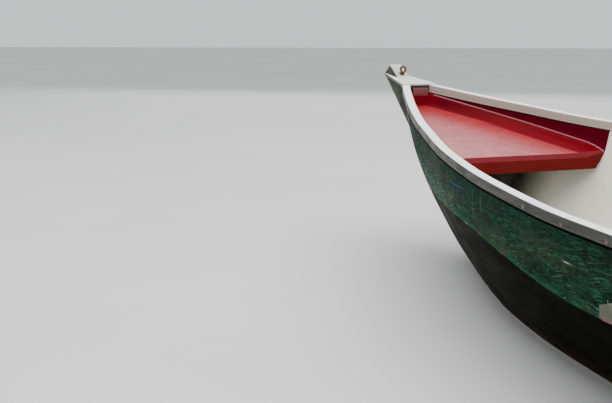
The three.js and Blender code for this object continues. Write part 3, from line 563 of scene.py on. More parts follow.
@dataclass(frozen=True)
class Gelcoat(Finish):
    """Glossy moulded gelcoat with dust, dull patches and a faint ripple."""

    dust: Color = (0.3, 0.27, 0.22)
    grime: Color = (0.13, 0.11, 0.075)
    dusty: float = 0.1
    low: float = -1.0

    def varying(self, g: Graph) -> dict[str, Signal]:
        """Dust lies on level faces, and dirt gathers low down.

        Args:
            g: Graph to build in.

        Returns:
            The signals by socket name.
        """
        _, _, up = g.facing()
        _, _, z = g.split(g.place())
        level = up.ramp(0.5, 0.95) * g.noise(6.0, detail=6.0).ramp(0.4, 0.75)
        dirt = z.ramp(self.low + 0.12, self.low) * g.noise(14.0).ramp(0.3, 0.7)
        color = self.clouded(g, self.color)
        color = g.mix(level * self.dusty, color, self.dust)
        color = g.mix(dirt * 0.5, color, self.grime)
        return {
            "Base Color": color,
            "Roughness": self.rough + 0.12 * level + 0.1 * dirt + 0.05 * g.noise(18.0),
            "Normal": g.bump(g.noise(5.0, detail=2.0), 0.0012, 0.5),
        }


@dataclass(frozen=True)
class LinerGel(Gelcoat):
    """Cream gelcoat with painted shade in the hollow under the platform."""

    # Colour of the painted shade in the hollow under the platform.
    under_platform_shade: Color = (0.020, 0.016, 0.009)

    def varying(self, g: Graph) -> dict[str, Signal]:
        """The painted shade fades out towards the platform's aft end.

        Args:
            g: Graph to build in.

        Returns:
            The signals by socket name.
        """
        x, _, _ = g.split(g.place())
        made = super().varying(g)
        # Painted shade: darkens the liner in the hollow under the platform.
        stain = x.ramp(1.82, 2.00) * (0.75 + 0.5 * g.noise(12.0, detail=5.0))
        made["Base Color"] = g.mix(stain * 0.9, made["Base Color"], self.under_platform_shade)
        return made


@dataclass(frozen=True)
class PlatformGel(Finish):
    """Deep red gelcoat, coated where it lies level; the lighter red there is a painted reflection of the sky,
    and the darker red on its slopes and upright faces is painted shade.
    """

    # Painted shade: darker red for slopes and upright faces; worn patches take it too.
    dull: Color = (0.080, 0.0004, 0.006)
    # Painted light by facing: red for faces that look aft, lighter than the other sides.
    lip: Color = (0.135, 0.010, 0.009)
    # Painted reflection: lighter red of the level floor in place of the sky's glare.
    floor: Color = (0.36, 0.014, 0.022)
    # Painted highlight: pinker red for the rounded rear edge.
    edge: Color = (0.15, 0.014, 0.019)
    # Painted light: lighter red for the nose panel in the shade of the breasthook.
    nose: Color = (0.17, 0.003, 0.010)
    scratch: Color = (0.5, 0.2, 0.18)
    polish: float = 0.95

    def fixed(self) -> dict[str, Any]:
        """The coat is a little blurred."""
        return {**super().fixed(), "Coat Roughness": 0.38}

    def varying(self, g: Graph) -> dict[str, Signal]:
        """The level floor mirrors the sky through its coat and is painted lighter as a painted reflection;
        the slopes and upright faces have no coat and are painted darker as painted shade.

        Args:
            g: Graph to build in.

        Returns:
            The signals by socket name.
        """
        ahead, _, up = g.facing()
        x, y, _ = g.split(g.place())
        # Level faces, cut off by position where the lining would block the sky's reflection.
        level = up.ramp(0.87, 0.93) * (abs(y) + 0.28 * x).ramp(0.775, 0.745)
        wear = g.noise(16.0, (1, 1, 1), 6.0, 0.65).ramp(0.35, 0.7)
        fine = g.noise(90.0, (0.5, 1.0, 1.0), 5.0, 0.7).ramp(0.62, 0.72)
        # Painted shade: faces that do not look up are painted darker, least so where they face aft.
        face = g.mix(ahead.ramp(-0.6, -0.9), self.dull, self.lip)
        color = g.mix(up.ramp(0.1, 0.9), face, self.color)
        # Painted reflection: the level floor takes the lighter red.
        color = g.mix(level, color, self.floor)
        # Painted light: the nose panel is lightened where the breasthook shades it.
        color = g.mix(x.ramp(2.44, 2.50) * (1.0 - level), color, self.nose)
        # Painted highlight: faces that look aft and up take the pinker edge colour.
        color = g.mix(ahead.ramp(-0.4, -0.6) * up.ramp(0.5, 0.66), color, self.edge)
        color = g.mix(wear * 0.2, color, self.dull)
        color = g.mix(fine * level * 0.2, color, self.scratch)
        return {
            "Base Color": color,
            "Coat Weight": level * (self.polish - 0.2 * wear),
            "Roughness": self.rough + 0.12 * wear,
            "Normal": g.bump(g.noise(6.0, detail=2.0), 0.001, 0.35),
        }


@dataclass(frozen=True)
class RailAlloy(Finish):
    """Weathered alloy, painted pale on top as a painted sky reflection and darker on its sides as painted
    shade, with scuffs and stains along the sides.
    """

    # Painted shade: outer sides darker than the top, lighter towards the bow; inner sides take a warmer
    # middle tone.
    side: Color = (0.055, 0.054, 0.049)
    fore: Color = (0.115, 0.112, 0.096)
    inner: Color = (0.42, 0.37, 0.32)
    stained: Color = (0.035, 0.033, 0.03)
    scuffed: Color = (0.2, 0.19, 0.17)
    cloudy: Color = (0.42, 0.44, 0.40)
    rubbed: Color = (0.22, 0.21, 0.18)

    def varying(self, g: Graph) -> dict[str, Signal]:
        """Tops are painted pale as a painted reflection, outer sides painted dark as painted shade, and dark
        scuffs run along them.

        Args:
            g: Graph to build in.

        Returns:
            The signals by socket name.
        """
        x, y, _ = g.split(g.place())
        _, across, up = g.facing()
        # Painted light by facing: the top takes the pale colour, the sides the darker ones.
        top = up.ramp(0.78, 0.975)
        outward = (across * y).ramp(0.0, 0.05)
        stain = g.noise(1.0, (9.0, 9.0, 60.0), 7.0, 0.7).ramp(0.42, 0.62)
        scuff = g.noise(1.0, (30.0, 30.0, 160.0), 6.0, 0.75).ramp(0.58, 0.7)
        face = g.mix(outward, self.inner, g.mix(x.ramp(0.9, 1.7), self.side, self.fore))
        face = g.mix(stain * 0.6 * outward, face, self.stained)
        face = g.mix(scuff * 0.35, face, self.scuffed)
        over = g.mix(g.noise(24.0, detail=6.0).ramp(0.35, 0.7) * 0.3, self.color, self.cloudy)
        over = g.mix(scuff * 0.25, over, self.rubbed)
        return {
            "Base Color": g.mix(top, face, over),
            "Roughness": self.rough + 0.2 * stain * (1.0 - top) + 0.1 * scuff,
            "Normal": g.bump(scuff + 0.5 * stain, 0.00025),
        }


@dataclass(frozen=True)
class StemPaint(Finish):
    """Dark grey-green paint, mottled above and worn to brown timber below."""

    brown: Color = (0.085, 0.048, 0.024)
    dark: Color = (0.018, 0.026, 0.021)
    chipped: Color = (0.2, 0.2, 0.17)
    wet: Color = (0.02, 0.02, 0.017)

    def varying(self, g: Graph) -> dict[str, Signal]:
        """Brown shows on the lower front, and chips are scattered on the edges.

        Args:
            g: Graph to build in.

        Returns:
            The signals by socket name.
        """
        _, _, z = g.split(g.place())
        mottle = g.noise(16.0, detail=7.0, rough=0.7).ramp(0.38, 0.66)
        chip = g.noise(70.0, detail=4.0).ramp(0.62, 0.7)
        color = g.mix(mottle, self.dark, self.color)
        color = g.mix(z.ramp(0.46, 0.24) * g.noise(12.0, (1, 1, 0.5)).ramp(0.25, 0.55), color, self.brown)
        color = g.mix(chip * 0.5, color, self.chipped)
        color = g.mix(z.ramp(0.03, 0.0), color, self.wet)
        return {
            "Base Color": color,
            "Roughness": self.rough + 0.15 * mottle,
            "Normal": g.bump(mottle + 0.4 * chip, 0.0006),
        }


@dataclass(frozen=True)
class WornMetal(Finish):
    """Bare or painted metal with a second colour of rust, tarnish or bare metal in patches."""

    worn: Color = (0.2, 0.08, 0.03)
    share: float = 0.5
    patch: float = 90.0

    def varying(self, g: Graph) -> dict[str, Signal]:
        """Patches of the worn colour are duller and stand a little proud.

        Args:
            g: Graph to build in.

        Returns:
            The signals by socket name.
        """
        shift = 0.3 * self.share
        spot = g.noise(self.patch, detail=6.0, rough=0.7).ramp(0.66 - shift, 0.78 - shift)
        return {
            "Base Color": g.mix(spot, self.clouded(g, self.color), self.worn),
            "Metallic": self.metal * (1.0 - 0.8 * spot),
            "Roughness": self.rough + 0.3 * spot,
            "Normal": g.bump(spot, 0.00015),
        }


@dataclass(frozen=True)
class GripSole(Finish):
    """Sole with a raised non-slip pattern, worn and dirty along the middle."""

    dull: Color = (0.36, 0.34, 0.29)
    trodden: Color = (0.2, 0.185, 0.15)
    raised: Color = (0.62, 0.6, 0.54)

    def varying(self, g: Graph) -> dict[str, Signal]:
        """Rows of small studs.

        Args:
            g: Graph to build in.

        Returns:
            The signals by socket name.
        """
        x, y, _ = g.split(g.place())
        row = g.math("SINE", 520.0 * x) * g.math("SINE", 520.0 * y)
        stud = row.ramp(0.15, 0.6)
        walked = abs(y).ramp(0.34, 0.08) * g.noise(5.0, detail=6.0).ramp(0.3, 0.7)
        color = g.mix(g.noise(11.0, detail=6.0).ramp(0.3, 0.7) * 0.4, self.color, self.dull)
        color = g.mix(walked * 0.55, color, self.trodden)
        return {
            "Base Color": g.mix(stud * 0.15, color, self.raised),
            "Roughness": self.rough - 0.15 * walked,
            "Normal": g.bump(stud, 0.0009),
        }


@dataclass(frozen=True)
class BoardWood(Finish):
    """Varnished board with grain along the boat's width."""

    dark: Color = (0.09, 0.045, 0.02)

    def varying(self, g: Graph) -> dict[str, Signal]:
        """Grain lines from stretched noise.

        Args:
            g: Graph to build in.

        Returns:
            The signals by socket name.
        """
        grain = g.noise(1.0, (30.0, 5.0, 120.0), 8.0, 0.65).ramp(0.35, 0.65)
        return {
            "Base Color": g.mix(grain, self.dark, self.color),
            "Roughness": self.rough + 0.15 * grain,
            "Normal": g.bump(grain, 0.0003),
        }


@dataclass(frozen=True)
class PadRubber(Finish):
    """Mottled rubber, rubbed to a brown lower rim."""

    pale: Color = (0.20, 0.175, 0.125)
    rim: Color = (0.17, 0.085, 0.065)

    def varying(self, g: Graph) -> dict[str, Signal]:
        """Pale blotches, and brown where the lower edge rubs.

        Args:
            g: Graph to build in.

        Returns:
            The signals by socket name.
        """
        _, _, z = g.split(g.place())
        blotch = g.noise(30.0, (0.6, 1.0, 1.0), 6.0, 0.7).ramp(0.42, 0.66)
        color = g.mix(blotch * 0.8, self.clouded(g, self.color), self.pale)
        color = g.mix(z.ramp(0.306, 0.292) * g.noise(40.0).ramp(0.25, 0.5), color, self.rim)
        return {
            "Base Color": color,
            "Roughness": self.rough + 0.15 * blotch,
            "Normal": g.bump(g.noise(180.0, detail=3.0), self.relief),
        }


HULL_PAINT = HullPaint("hull_paint", "hull_green", (0.0048, 0.042, 0.021), 0.4, shine=0.01)
LINER_GEL = LinerGel("liner_gel", "liner_cream", (0.88, 0.87, 0.77), 0.4, low=0.01, shine=0.3)
RED_GEL = PlatformGel("red_gel", "moulding_red", (0.140, 0.0016, 0.006), 0.3, shine=0.03)
# Painted reflection: the crest's pinkish grey in place of the sky's reflection on red gelcoat.
CREST_SHEEN_GEL = Gelcoat("crest_sheen_gel", "moulding_red", (0.20, 0.062, 0.068), 0.3, shine=0.2)
# Painted highlight: pale pink along the ridge, in place of the crease catching the light.
RIDGE_HIGHLIGHT_GEL = Gelcoat("ridge_highlight_gel", "moulding_red", (0.40, 0.12, 0.135), 0.3, shine=0.3)
BENCH_GEL = Gelcoat("bench_gel", "bench_green", (0.022, 0.105, 0.078), 0.25, coat=0.3, dusty=0.12)
EDGE_GEL = Gelcoat("edge_gel", "liner_cream", (0.78, 0.77, 0.72), 0.3)
CAP_GEL = Gelcoat("cap_gel", "cap_white", (0.82, 0.81, 0.77), 0.26, coat=0.2, cloud=0.05, dusty=0.06)
# Painted light: the rail's pale top colour is a painted sky reflection, its darker sides painted shade.
RAIL = RailAlloy("rail_alloy", "alloy", (0.95, 0.975, 0.955), 0.42, metal=0.0, shine=0.15)
SLOPE = RailAlloy("slope_alloy", "alloy", (0.66, 0.71, 0.62), 0.46, metal=0.0, shine=0.15)
STEM = StemPaint("stem_paint", "stem_paint", (0.084, 0.086, 0.069), 0.5, shine=0.12)
KEEL = StemPaint("keel_paint", "stem_paint", (0.03, 0.032, 0.028), 0.6)
EYE = WornMetal(
    "eye_metal", "eye_copper", (0.16, 0.07, 0.035), 0.24, metal=0.5, worn=(0.035, 0.014, 0.007), share=0.7
)
SCREW = WornMetal(
    "screw_metal", "guard_steel", (0.32, 0.28, 0.22), 0.4, metal=0.7, worn=(0.10, 0.045, 0.025), share=0.85
)
STEEL = WornMetal(
    "tube_steel", "guard_steel", (0.52, 0.53, 0.51), 0.3, metal=0.75, worn=(0.3, 0.29, 0.26), share=0.3
)
LEG = WornMetal(
    "leg_metal", "leg_steel", (0.42, 0.43, 0.43), 0.26, metal=0.95, worn=(0.2, 0.19, 0.17), share=0.2
)
BLACK = WornMetal(
    "black_paint", "black_metal", (0.012, 0.012, 0.013), 0.38, worn=(0.07, 0.068, 0.06), share=0.2
)
LEAF = WornMetal(
    "green_paint", "bracket_green", (0.07, 0.30, 0.03), 0.32, worn=(0.025, 0.10, 0.02), share=0.35
)
PLASTIC = Finish("black_plastic", "black_plastic", (0.014, 0.014, 0.015), 0.45, grain=140.0, relief=0.0002)
RUBBER = Finish("grip_rubber", "grip_rubber", (0.013, 0.013, 0.013), 0.7, grain=260.0, relief=0.0003)
# Painted shade: near-black colour for the bead that stands in for the shadow line under the rail.
SHADE_BLACK = Finish("painted_shade_black", "grip_rubber", (0.0012, 0.0012, 0.0012), 0.8, relief=0.0002, shine=0.01)
PAD = PadRubber(
    "pad_rubber", "pad_rubber", (0.095, 0.115, 0.075), 0.65, grain=90.0, cloud=0.35, relief=0.0004
)
WOOD = BoardWood("board_wood", "board_wood", (0.24, 0.125, 0.055), 0.35, coat=0.3)
SOLE = GripSole("grip_sole", "sole_grey", (0.46, 0.44, 0.38), 0.7)


# Mesh tools


def linked(name: str, data: bpy.types.ID) -> Piece:
    """Makes an object of a mesh, a lamp or a camera.

    Args:
        name: Name of the object.
        data: What it shows.

    Returns:
        The object, linked to the scene.
    """
    piece = bpy.data.objects.new(name, data)
    bpy.context.scene.collection.objects.link(piece)
    return piece


def mesh_piece(name: str, points: Sequence[Sequence[float]], faces: Sequence[Sequence[int]]) -> Piece:
    """Makes a mesh object, smooth but for its sharp edges.

    Args:
        name: Name of the piece.
        points: Its vertices.
        faces: Lists of vertex numbers.

    Returns:
        The object, linked to the scene.
    """
    mesh = bpy.data.meshes.new(name)
    mesh.from_pydata([(x, y, z - WATER_RISE) for x, y, z in points], [], [tuple(face) for face in faces])
    piece = linked(name, mesh)
    tidy(piece)
    return piece


def tidy(piece: Piece, sharp: float = 32.0) -> None:
    """Turns faces outward, joins doubled points and marks sharp edges.

    Args:
        piece: Object to work on.
        sharp: Angle in degrees from which an edge stays sharp.
    """
    shape = bmesh.new()
    shape.from_mesh(piece.data)
    bmesh.ops.remove_doubles(shape, verts=shape.verts, dist=JOIN_DISTANCE)
    bmesh.ops.dissolve_degenerate(shape, edges=shape.edges, dist=1e-6)
    bmesh.ops.recalc_face_normals(shape, faces=shape.faces)
    limit = math.radians(sharp)
    for face in shape.faces:
        face.smooth = True
    for edge in shape.edges:
        edge.smooth = len(edge.link_faces) == 2 and edge.calc_face_angle(0.0) < limit
    shape.to_mesh(piece.data)
    shape.free()


def settle(piece: Piece, sharp: float = 32.0) -> Piece:
    """Applies all modifiers of a piece to its mesh.

    Args:
        piece: Object to work on.
        sharp: Angle in degrees from which an edge stays sharp.

    Returns:
        The same object.
    """
    graph = bpy.context.evaluated_depsgraph_get()
    shaped = bpy.data.meshes.new_from_object(piece.evaluated_get(graph))
    piece.modifiers.clear()
    piece.data = shaped
    tidy(piece, sharp)
    return piece


def rounded(piece: Piece, width: float, steps: int = 3, angle: float = 30.0) -> Piece:
    """Rounds the sharp edges of a piece.

    Args:
        piece: Object to work on.
        width: Width of the rounding.
        steps: Number of faces across it.
        angle: Edges sharper than this many degrees are rounded.

    Returns:
        The same object.
    """
    bevel = piece.modifiers.new("rounding", "BEVEL")
    bevel.width = width
    bevel.segments = steps
    bevel.limit_method = "ANGLE"
    bevel.angle_limit = math.radians(angle)
    bevel.use_clamp_overlap = True
    bevel.miter_outer = "MITER_ARC"
    return settle(piece, 40.0)


def cut(piece: Piece, tool: Piece, operation: Operation = Operation.DIFFERENCE) -> Piece:
    """Cuts a closed piece by another, which is used up.

    Args:
        piece: Object that is kept.
        tool: Object that cuts.
        operation: Whether the tool takes away what it covers or leaves only that.

    Returns:
        The kept object.
    """
    step = piece.modifiers.new("cut", "BOOLEAN")
    step.operation = operation.value
    step.solver = "EXACT"
    step.object = tool
    settle(piece)
    bpy.data.objects.remove(tool)
    return piece


def skin(
    name: str, rings: Sequence[Sequence[Sequence[float]]], closed: bool = True, capped: bool = True
) -> Piece:
    """Skins a surface through rings of equal length.

    Args:
        name: Name of the piece.
        rings: Lists of points.
        closed: Whether each ring joins back to its start.
        capped: Whether the first and last rings are filled.

    Returns:
        The object.
    """
    count = len(rings[0])
    faces: list[list[int]] = []
    for r in range(len(rings) - 1):
        for i in range(count if closed else count - 1):
            a, b = r * count + i, r * count + (i + 1) % count
            faces.append([a, b, b + count, a + count])
    if capped:
        faces.append(list(range(count)))
        faces.append([(len(rings) - 1) * count + i for i in range(count)])
    return mesh_piece(name, [point for ring in rings for point in ring], faces)


def block(name: str, low: Point, high: Point) -> Piece:
    """Plain box that other pieces are cut from or by."""
    ring = [(low[0], low[1]), (high[0], low[1]), (high[0], high[1]), (low[0], high[1])]
    return skin(name, [[(x, y, z) for x, y in ring] for z in (low[2], high[2])])


def drawn_out(name: str, outline: Sequence[Pair], half: float) -> Piece:
    """Side outline of (x, z) points drawn out from y = -half to y = half."""
    return skin(name, [[(x, y, z) for x, z in outline] for y in (-half, half)])


def circle(middle: Vector, across: Vector, third: Vector, radius: float, sides: int) -> list[Vector]:
    """Points of a circle.

    Args:
        middle: Its middle.
        across: Unit vector towards its first point.
        third: Unit vector square to that, in the circle's plane.
        radius: Its radius.
        sides: Number of points.

    Returns:
        The points in order.
    """
    turns = [2 * math.pi * i / sides for i in range(sides)]
    return [middle + (across * math.cos(t) + third * math.sin(t)) * radius for t in turns]


def lathe(name: str, profile: Sequence[Pair], start: Point, along: Point, sides: int) -> Piece:
    """Turns a profile about an axis.

    Args:
        name: Name of the piece.
        profile: (radius, distance along the axis) points, with radius 0 at both ends.
        start: Where distance 0 lies.
        along: Direction of the axis.
        sides: Number of faces around it.

    Returns:
        The object.
    """
    axis = Vector(along).normalized()
    across = axis.orthogonal().normalized()
    third = axis.cross(across)
    rings = []
    for radius, distance in profile:
        middle = Vector(start) + axis * distance
        rings.append(circle(middle, across, third, max(radius, 1e-5), sides))
    return skin(name, rings)


def smooth_path(points: Sequence[Point], steps: int) -> list[Vector]:
    """Centripetal curve through points.

    Args:
        points: Points that the curve passes through.
        steps: Number of runs between two points.

    Returns:
        Points along the curve.
    """
    knots = [Vector(point) for point in points]
    knots = [2 * knots[0] - knots[1], *knots, 2 * knots[-1] - knots[-2]]
    path: list[Vector] = []
    for a, b, c, d in zip(knots, knots[1:], knots[2:], knots[3:]):
        t1 = (b - a).length ** 0.5
        t2 = t1 + (c - b).length ** 0.5
        t3 = t2 + (d - c).length ** 0.5
        for i in range(steps):
            t = t1 + (t2 - t1) * i / steps
            p = a + (b - a) * (t / t1)
            q = b + (c - b) * ((t - t1) / (t2 - t1))
            r = c + (d - c) * ((t - t2) / (t3 - t2))
            u = p + (q - p) * (t / t2)
            v = q + (r - q) * ((t - t1) / (t3 - t1))
            path.append(u + (v - u) * ((t - t1) / (t2 - t1)))
    path.append(knots[-2])
    return path


def tube(name: str, path: Sequence[Vector], radius: float, sides: int) -> Piece:
    """Round bar along a path.

    Args:
        name: Name of the piece.
        path: Points along its middle.
        radius: Its radius.
        sides: Number of faces around it.

    Returns:
        The object.
    """
    rings = []
    last = len(path) - 1
    forward = (path[1] - path[0]).normalized()
    across = forward.orthogonal().normalized()
    for i, point in enumerate(path):
        ahead = path[min(i + 1, last)] - path[max(i - 1, 0)]
        forward = ahead.normalized()
        across = (across - forward * across.dot(forward)).normalized()
        rings.append(circle(point, across, forward.cross(across), radius, sides))
    return skin(name, rings)


def joined(name: str, pieces: Iterable[Piece]) -> Piece:
    """Puts the meshes of several pieces into one object.

    Args:
        name: Name of the result.
        pieces: Objects that are used up.

    Returns:
        The one object.
    """
    shape = bmesh.new()
    for piece in pieces:
        shape.from_mesh(piece.data)
        bpy.data.objects.remove(piece)
    mesh = bpy.data.meshes.new(name)
    shape.to_mesh(mesh)
    shape.free()
    return linked(name, mesh)


def dress(piece: Piece, finish: Finish, body: Body, *nodes: str) -> Piece:
    """Gives a piece its material and body, and hides the solids that it stands for.

    Args:
        piece: Object to dress.
        finish: Its finish.
        body: Body that it rides on.
        nodes: Solids that it stands for.

    Returns:
        The object.
    """
    piece.data.materials.clear()
    piece.data.materials.append(finish.material())
    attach(piece, body.value)
    if nodes:
        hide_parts(*nodes)
    LOG.info("%s: %d faces in %s", piece.name, len(piece.data.polygons), finish.name)
    return piece


def softened(node: str, name: str, width: float, finish: Finish, body: Body, steps: int = 3) -> Piece:
    """Stands a copy of a solid with rounded edges in its place.

    Args:
        node: Solid to copy.
        name: Name of the copy.
        width: Width of the rounding.
        finish: Finish of the copy.
        body: Body that it rides on.
        steps: Number of faces across a rounding.

    Returns:
        The copy.
    """
    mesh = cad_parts[node].data.copy()
    mesh.name = name
    copy = linked(name, mesh)
    shape = bmesh.new()
    shape.from_mesh(mesh)
    bmesh.ops.remove_doubles(shape, verts=shape.verts, dist=JOIN_DISTANCE)
    bmesh.ops.dissolve_limit(shape, angle_limit=math.radians(1.0), verts=shape.verts, edges=shape.edges)
    shape.to_mesh(mesh)
    shape.free()
    return dress(rounded(copy, width, steps), finish, body, node)


def x_at(aft: float) -> float:
    """Place along the boat of a distance aft."""
    return BASE_X - aft


def station(aft: float, points: Iterable[Pair], sign: int = 1) -> list[Point]:
    """Section of (y, z) points stood up at a distance aft, each y times the sign."""
    return [(x_at(aft), sign * y, z) for y, z in points]


def mirrored(aft: float, half: Sequence[Pair]) -> list[Point]:
    """Whole section at a distance aft, from the (y, z) points of its port half."""
    return [*station(aft, reversed(half[1:]), -1), *station(aft, half)]


def quarter(steps: int) -> list[float]:
    """Angles from 0 to a quarter turn in even steps."""
    return [math.pi / 2 * i / steps for i in range(steps + 1)]


def boxed(half: float, low: float, high: float) -> list[Pair]:
    """Corners of a rectangle that is as wide to port as to starboard."""
    return [(-half, low), (half, low), (half, high), (-half, high)]


# Hull form


class Column(IntEnum):
    """Columns of the hull form's rows.

    They are the distance aft, the gunwale's half-breadth and height, the keel's height, and the two inner
    control points of the section as shares of its half-breadth and depth.
    """

    AFT = 0
    HALF = 1
    SHEER = 2
    KEEL = 3
    BILGE_OUT = 4
    BILGE_UP = 5
    SIDE_OUT = 6
    SIDE_UP = 7


@dataclass(frozen=True)
class HullForm:
    """The moulded form of the hull, from rows at distances aft that hold a value for each Column.

    The hull's face lies in from the rails' outer side. Slopes are measured over a span to either side, and a
    section that is searched for a height is first drawn up to be tall enough.
    """

    eaves_depth: float = 0.034
    fitting_depth: float = 0.0348
    face: float = 0.0033
    front: float = 0.252
    front_step: float = 0.003
    least_half: float = 0.004
    least_depth: float = 0.006
    span: float = 0.01
    tall: float = 0.4
    rows: tuple[tuple[float, ...], ...] = (
        (0.200, 0.008, 0.780, 0.778, 0.35, 0.30, 0.70, 0.65),
        (0.300, 0.053, 0.766, 0.686, 0.34, 0.26, 0.74, 0.60),
        (0.425, 0.117, 0.744, 0.513, 0.31, 0.19, 0.82, 0.57),
        (0.640, 0.219, 0.712, 0.324, 0.28, 0.12, 0.90, 0.53),
        (0.850, 0.314, 0.685, 0.154, 0.26, 0.06, 0.94, 0.50),
        (1.062, 0.402, 0.659, 0.010, 0.25, 0.02, 0.90, 0.51),
        (1.275, 0.485, 0.640, -0.073, 0.28, 0.00, 0.88, 0.48),
        (1.700, 0.649, 0.615, -0.150, 0.36, 0.00, 0.87, 0.43),
        (2.125, 0.763, 0.590, -0.162, 0.43, 0.00, 0.84, 0.40),
        (2.600, 0.842, 0.571, -0.162, 0.47, 0.00, 0.81, 0.38),
        (3.300, 0.905, 0.567, -0.160, 0.54, 0.00, 0.83, 0.34),
        (4.200, 0.895, 0.571, -0.146, 0.56, 0.00, 0.83, 0.34),
        (5.000, 0.830, 0.581, -0.112, 0.57, 0.00, 0.84, 0.35),
        (5.800, 0.728, 0.597, -0.062, 0.58, 0.00, 0.85, 0.36),
    )

    def rise(self, column: Column, i: int) -> float:
        """Straight slope of a column from a row to the next."""
        low, high = self.rows[i], self.rows[i + 1]
        return (high[column] - low[column]) / (high[Column.AFT] - low[Column.AFT])

    def slope(self, column: Column, i: int) -> float:
        """Slope of a column's curve at a row, 0 at a peak.

        Args:
            column: The column.
            i: Number of the row.

        Returns:
            The slope.
        """
        if i == 0:
            return self.rise(column, 0)
        if i == len(self.rows) - 1:
            return self.rise(column, i - 1)
        before, after = self.rise(column, i - 1), self.rise(column, i)
        return 0.0 if before * after <= 0 else 2 * before * after / (before + after)

    def value(self, column: Column, aft: float) -> float:
        """A column at any distance aft, on a monotone curve through the rows.

        Args:
            column: The column.
            aft: Distance aft of the tip.

        Returns:
            The column's value there.
        """
        place = min(max(aft, self.rows[0][Column.AFT]), self.rows[-1][Column.AFT])
        i = 0
        while i < len(self.rows) - 2 and place > self.rows[i + 1][Column.AFT]:
            i += 1
        low, high = self.rows[i], self.rows[i + 1]
        run = high[Column.AFT] - low[Column.AFT]
        t = (place - low[Column.AFT]) / run
        rise = high[column] - low[column]
        near, far = self.slope(column, i) * run, self.slope(column, i + 1) * run
        return low[column] + near * t + (3 * rise - 2 * near - far) * t * t + (near + far - 2 * rise) * t**3

    def half(self, aft: float) -> float:
        """Half-breadth of the gunwale."""
        return self.value(Column.HALF, aft)

    def sheer(self, aft: float) -> float:
        """Height of the gunwale."""
        return self.value(Column.SHEER, aft)

    def ceiling(self, aft: float) -> float:
        """Height that the mouldings inside the rails reach up to."""
        return self.sheer(aft) - self.fitting_depth

    def slant(self, column: Column, aft: float) -> float:
        """How much longer a skin is cut where a column runs at a slope."""
        steep = (self.value(column, aft + self.span) - self.value(column, aft - self.span)) / (2 * self.span)
        return math.sqrt(1 + steep * steep)

    def edge(self, aft: float, inset: float) -> float:
        """Distance from the centreline of a face set in from the rail's outer face."""
        return self.half(aft) - inset * self.slant(Column.HALF, aft)

    def bottom(self, aft: float, inset: float) -> float:
        """Height of the keel of a face set in from the outer one."""
        return self.value(Column.KEEL, aft) + inset * self.slant(Column.KEEL, aft)

    def section(self, aft: float, inset: float, raised: float = 0.0, steps: int = 22) -> list[Pair]:
        """Half section from keel to gunwale.

        Args:
            aft: Distance aft of the tip.
            inset: Distance in from the rail's outer face.
            raised: Height added to the top edge.
            steps: Number of runs along the curve.

        Returns:
            The (y, z) points.
        """
        half = self.edge(aft, inset)
        keel = self.bottom(aft, inset)
        eaves = self.sheer(aft) - self.eaves_depth
        depth = eaves - keel
        low_y = self.value(Column.BILGE_OUT, aft) * half
        low_z = keel + self.value(Column.BILGE_UP, aft) * depth
        high_y = self.value(Column.SIDE_OUT, aft) * half
        high_z = keel + self.value(Column.SIDE_UP, aft) * depth
        points = []
        for i in range(steps + 1):
            u = i / steps
            v = 1 - u
            a, b, c = 3 * v * v * u, 3 * v * u * u, u**3
            height = v**3 * keel + a * low_z + b * high_z + c * eaves
            points.append((a * low_y + b * high_y + c * half, height))
        points.append((half, self.sheer(aft) - self.face + raised))
        return points

    def half_at(self, aft: float, height: float, inset: float) -> float:
        """Half-breadth of the form at a height.

        Args:
            aft: Distance aft of the tip.
            height: Height above the baseline.
            inset: Distance in from the rail's outer face.

        Returns:
            The half-breadth.
        """
        side = self.section(aft, inset, self.tall)
        for (y0, z0), (y1, z1) in zip(side, side[1:]):
            if z1 >= height:
                return y0 + max(0.0, (height - z0) / (z1 - z0)) * (y1 - y0)
        return side[-1][0]

    def has_room(self, aft: float, inset: float) -> bool:
        """Whether the form is wide and deep enough for a section.

        Args:
            aft: Distance aft of the tip.
            inset: Distance in from the rail's outer face.

        Returns:
            True where it is.
        """
        wide = (inset + self.least_half) * self.slant(Column.HALF, aft) + self.least_half
        deep = self.sheer(aft) - self.eaves_depth - self.least_depth
        return self.half(aft) >= wide and self.bottom(aft, inset) <= deep

    def solid(self, name: str, inset: float, raised: float = 0.0, runs: int = 84) -> Piece:
        """Closed solid of the form.

        Args:
            name: Name of the piece.
            inset: Distance in from the rail's outer face.
            raised: Height added to the top edge.
            runs: Number of runs along the boat.

        Returns:
            The object.
        """
        first = self.front
        while not self.has_room(first, inset):
            first += self.front_step
        rear = TRANSOM_AFT - max(0.0, inset - self.face)
        afts = [first + (rear - first) * (i / runs) ** 1.35 for i in range(runs + 1)]
        return skin(name, [mirrored(aft, self.section(aft, inset, raised)) for aft in afts])


FORM = HullForm()
HULL_WALL = 0.022
LINER_WALL = 0.008
HULL_BACK = FORM.face + HULL_WALL
LINER_FACE = HULL_BACK + SEAT_GAP
LINER_BACK = LINER_FACE + LINER_WALL
FITTING_FACE = LINER_BACK + SEAT_GAP


@dataclass
class Skins:
    """Hull shell and inner liner, each with the motor's notch cut out of its transom."""

    notch_half: float = 0.2133
    notch_heights: Pair = (0.4967, 1.0)
    notch_afts: Pair = (5.9, 5.6)
    core_raised: float = 0.04

    def notch(self) -> Piece:
        """Tool that cuts the notch."""
        (rear, front), (low, high) = self.notch_afts, self.notch_heights
        return block("notch_tool", (x_at(rear), -self.notch_half, low), (x_at(front), self.notch_half, high))

    def hollow(self, name: str, face: float, back: float) -> Piece:
        """Skin between two insets, with the motor's notch cut out.

        Args:
            name: Name of the piece.
            face: Inset of its outer face.
            back: Inset of its inner face.

        Returns:
            The skin.
        """
        whole = cut(FORM.solid(name, face), FORM.solid("core_tool", back, self.core_raised))
        return cut(whole, self.notch())

    def build(self) -> None:
        """Builds both skins."""
        dress(self.hollow("hull_skin", FORM.face, HULL_BACK), HULL_PAINT, Body.HULL, "hull_shell")
        dress(self.hollow("liner_skin", LINER_FACE, LINER_BACK), LINER_GEL, Body.HULL, "inner_liner")


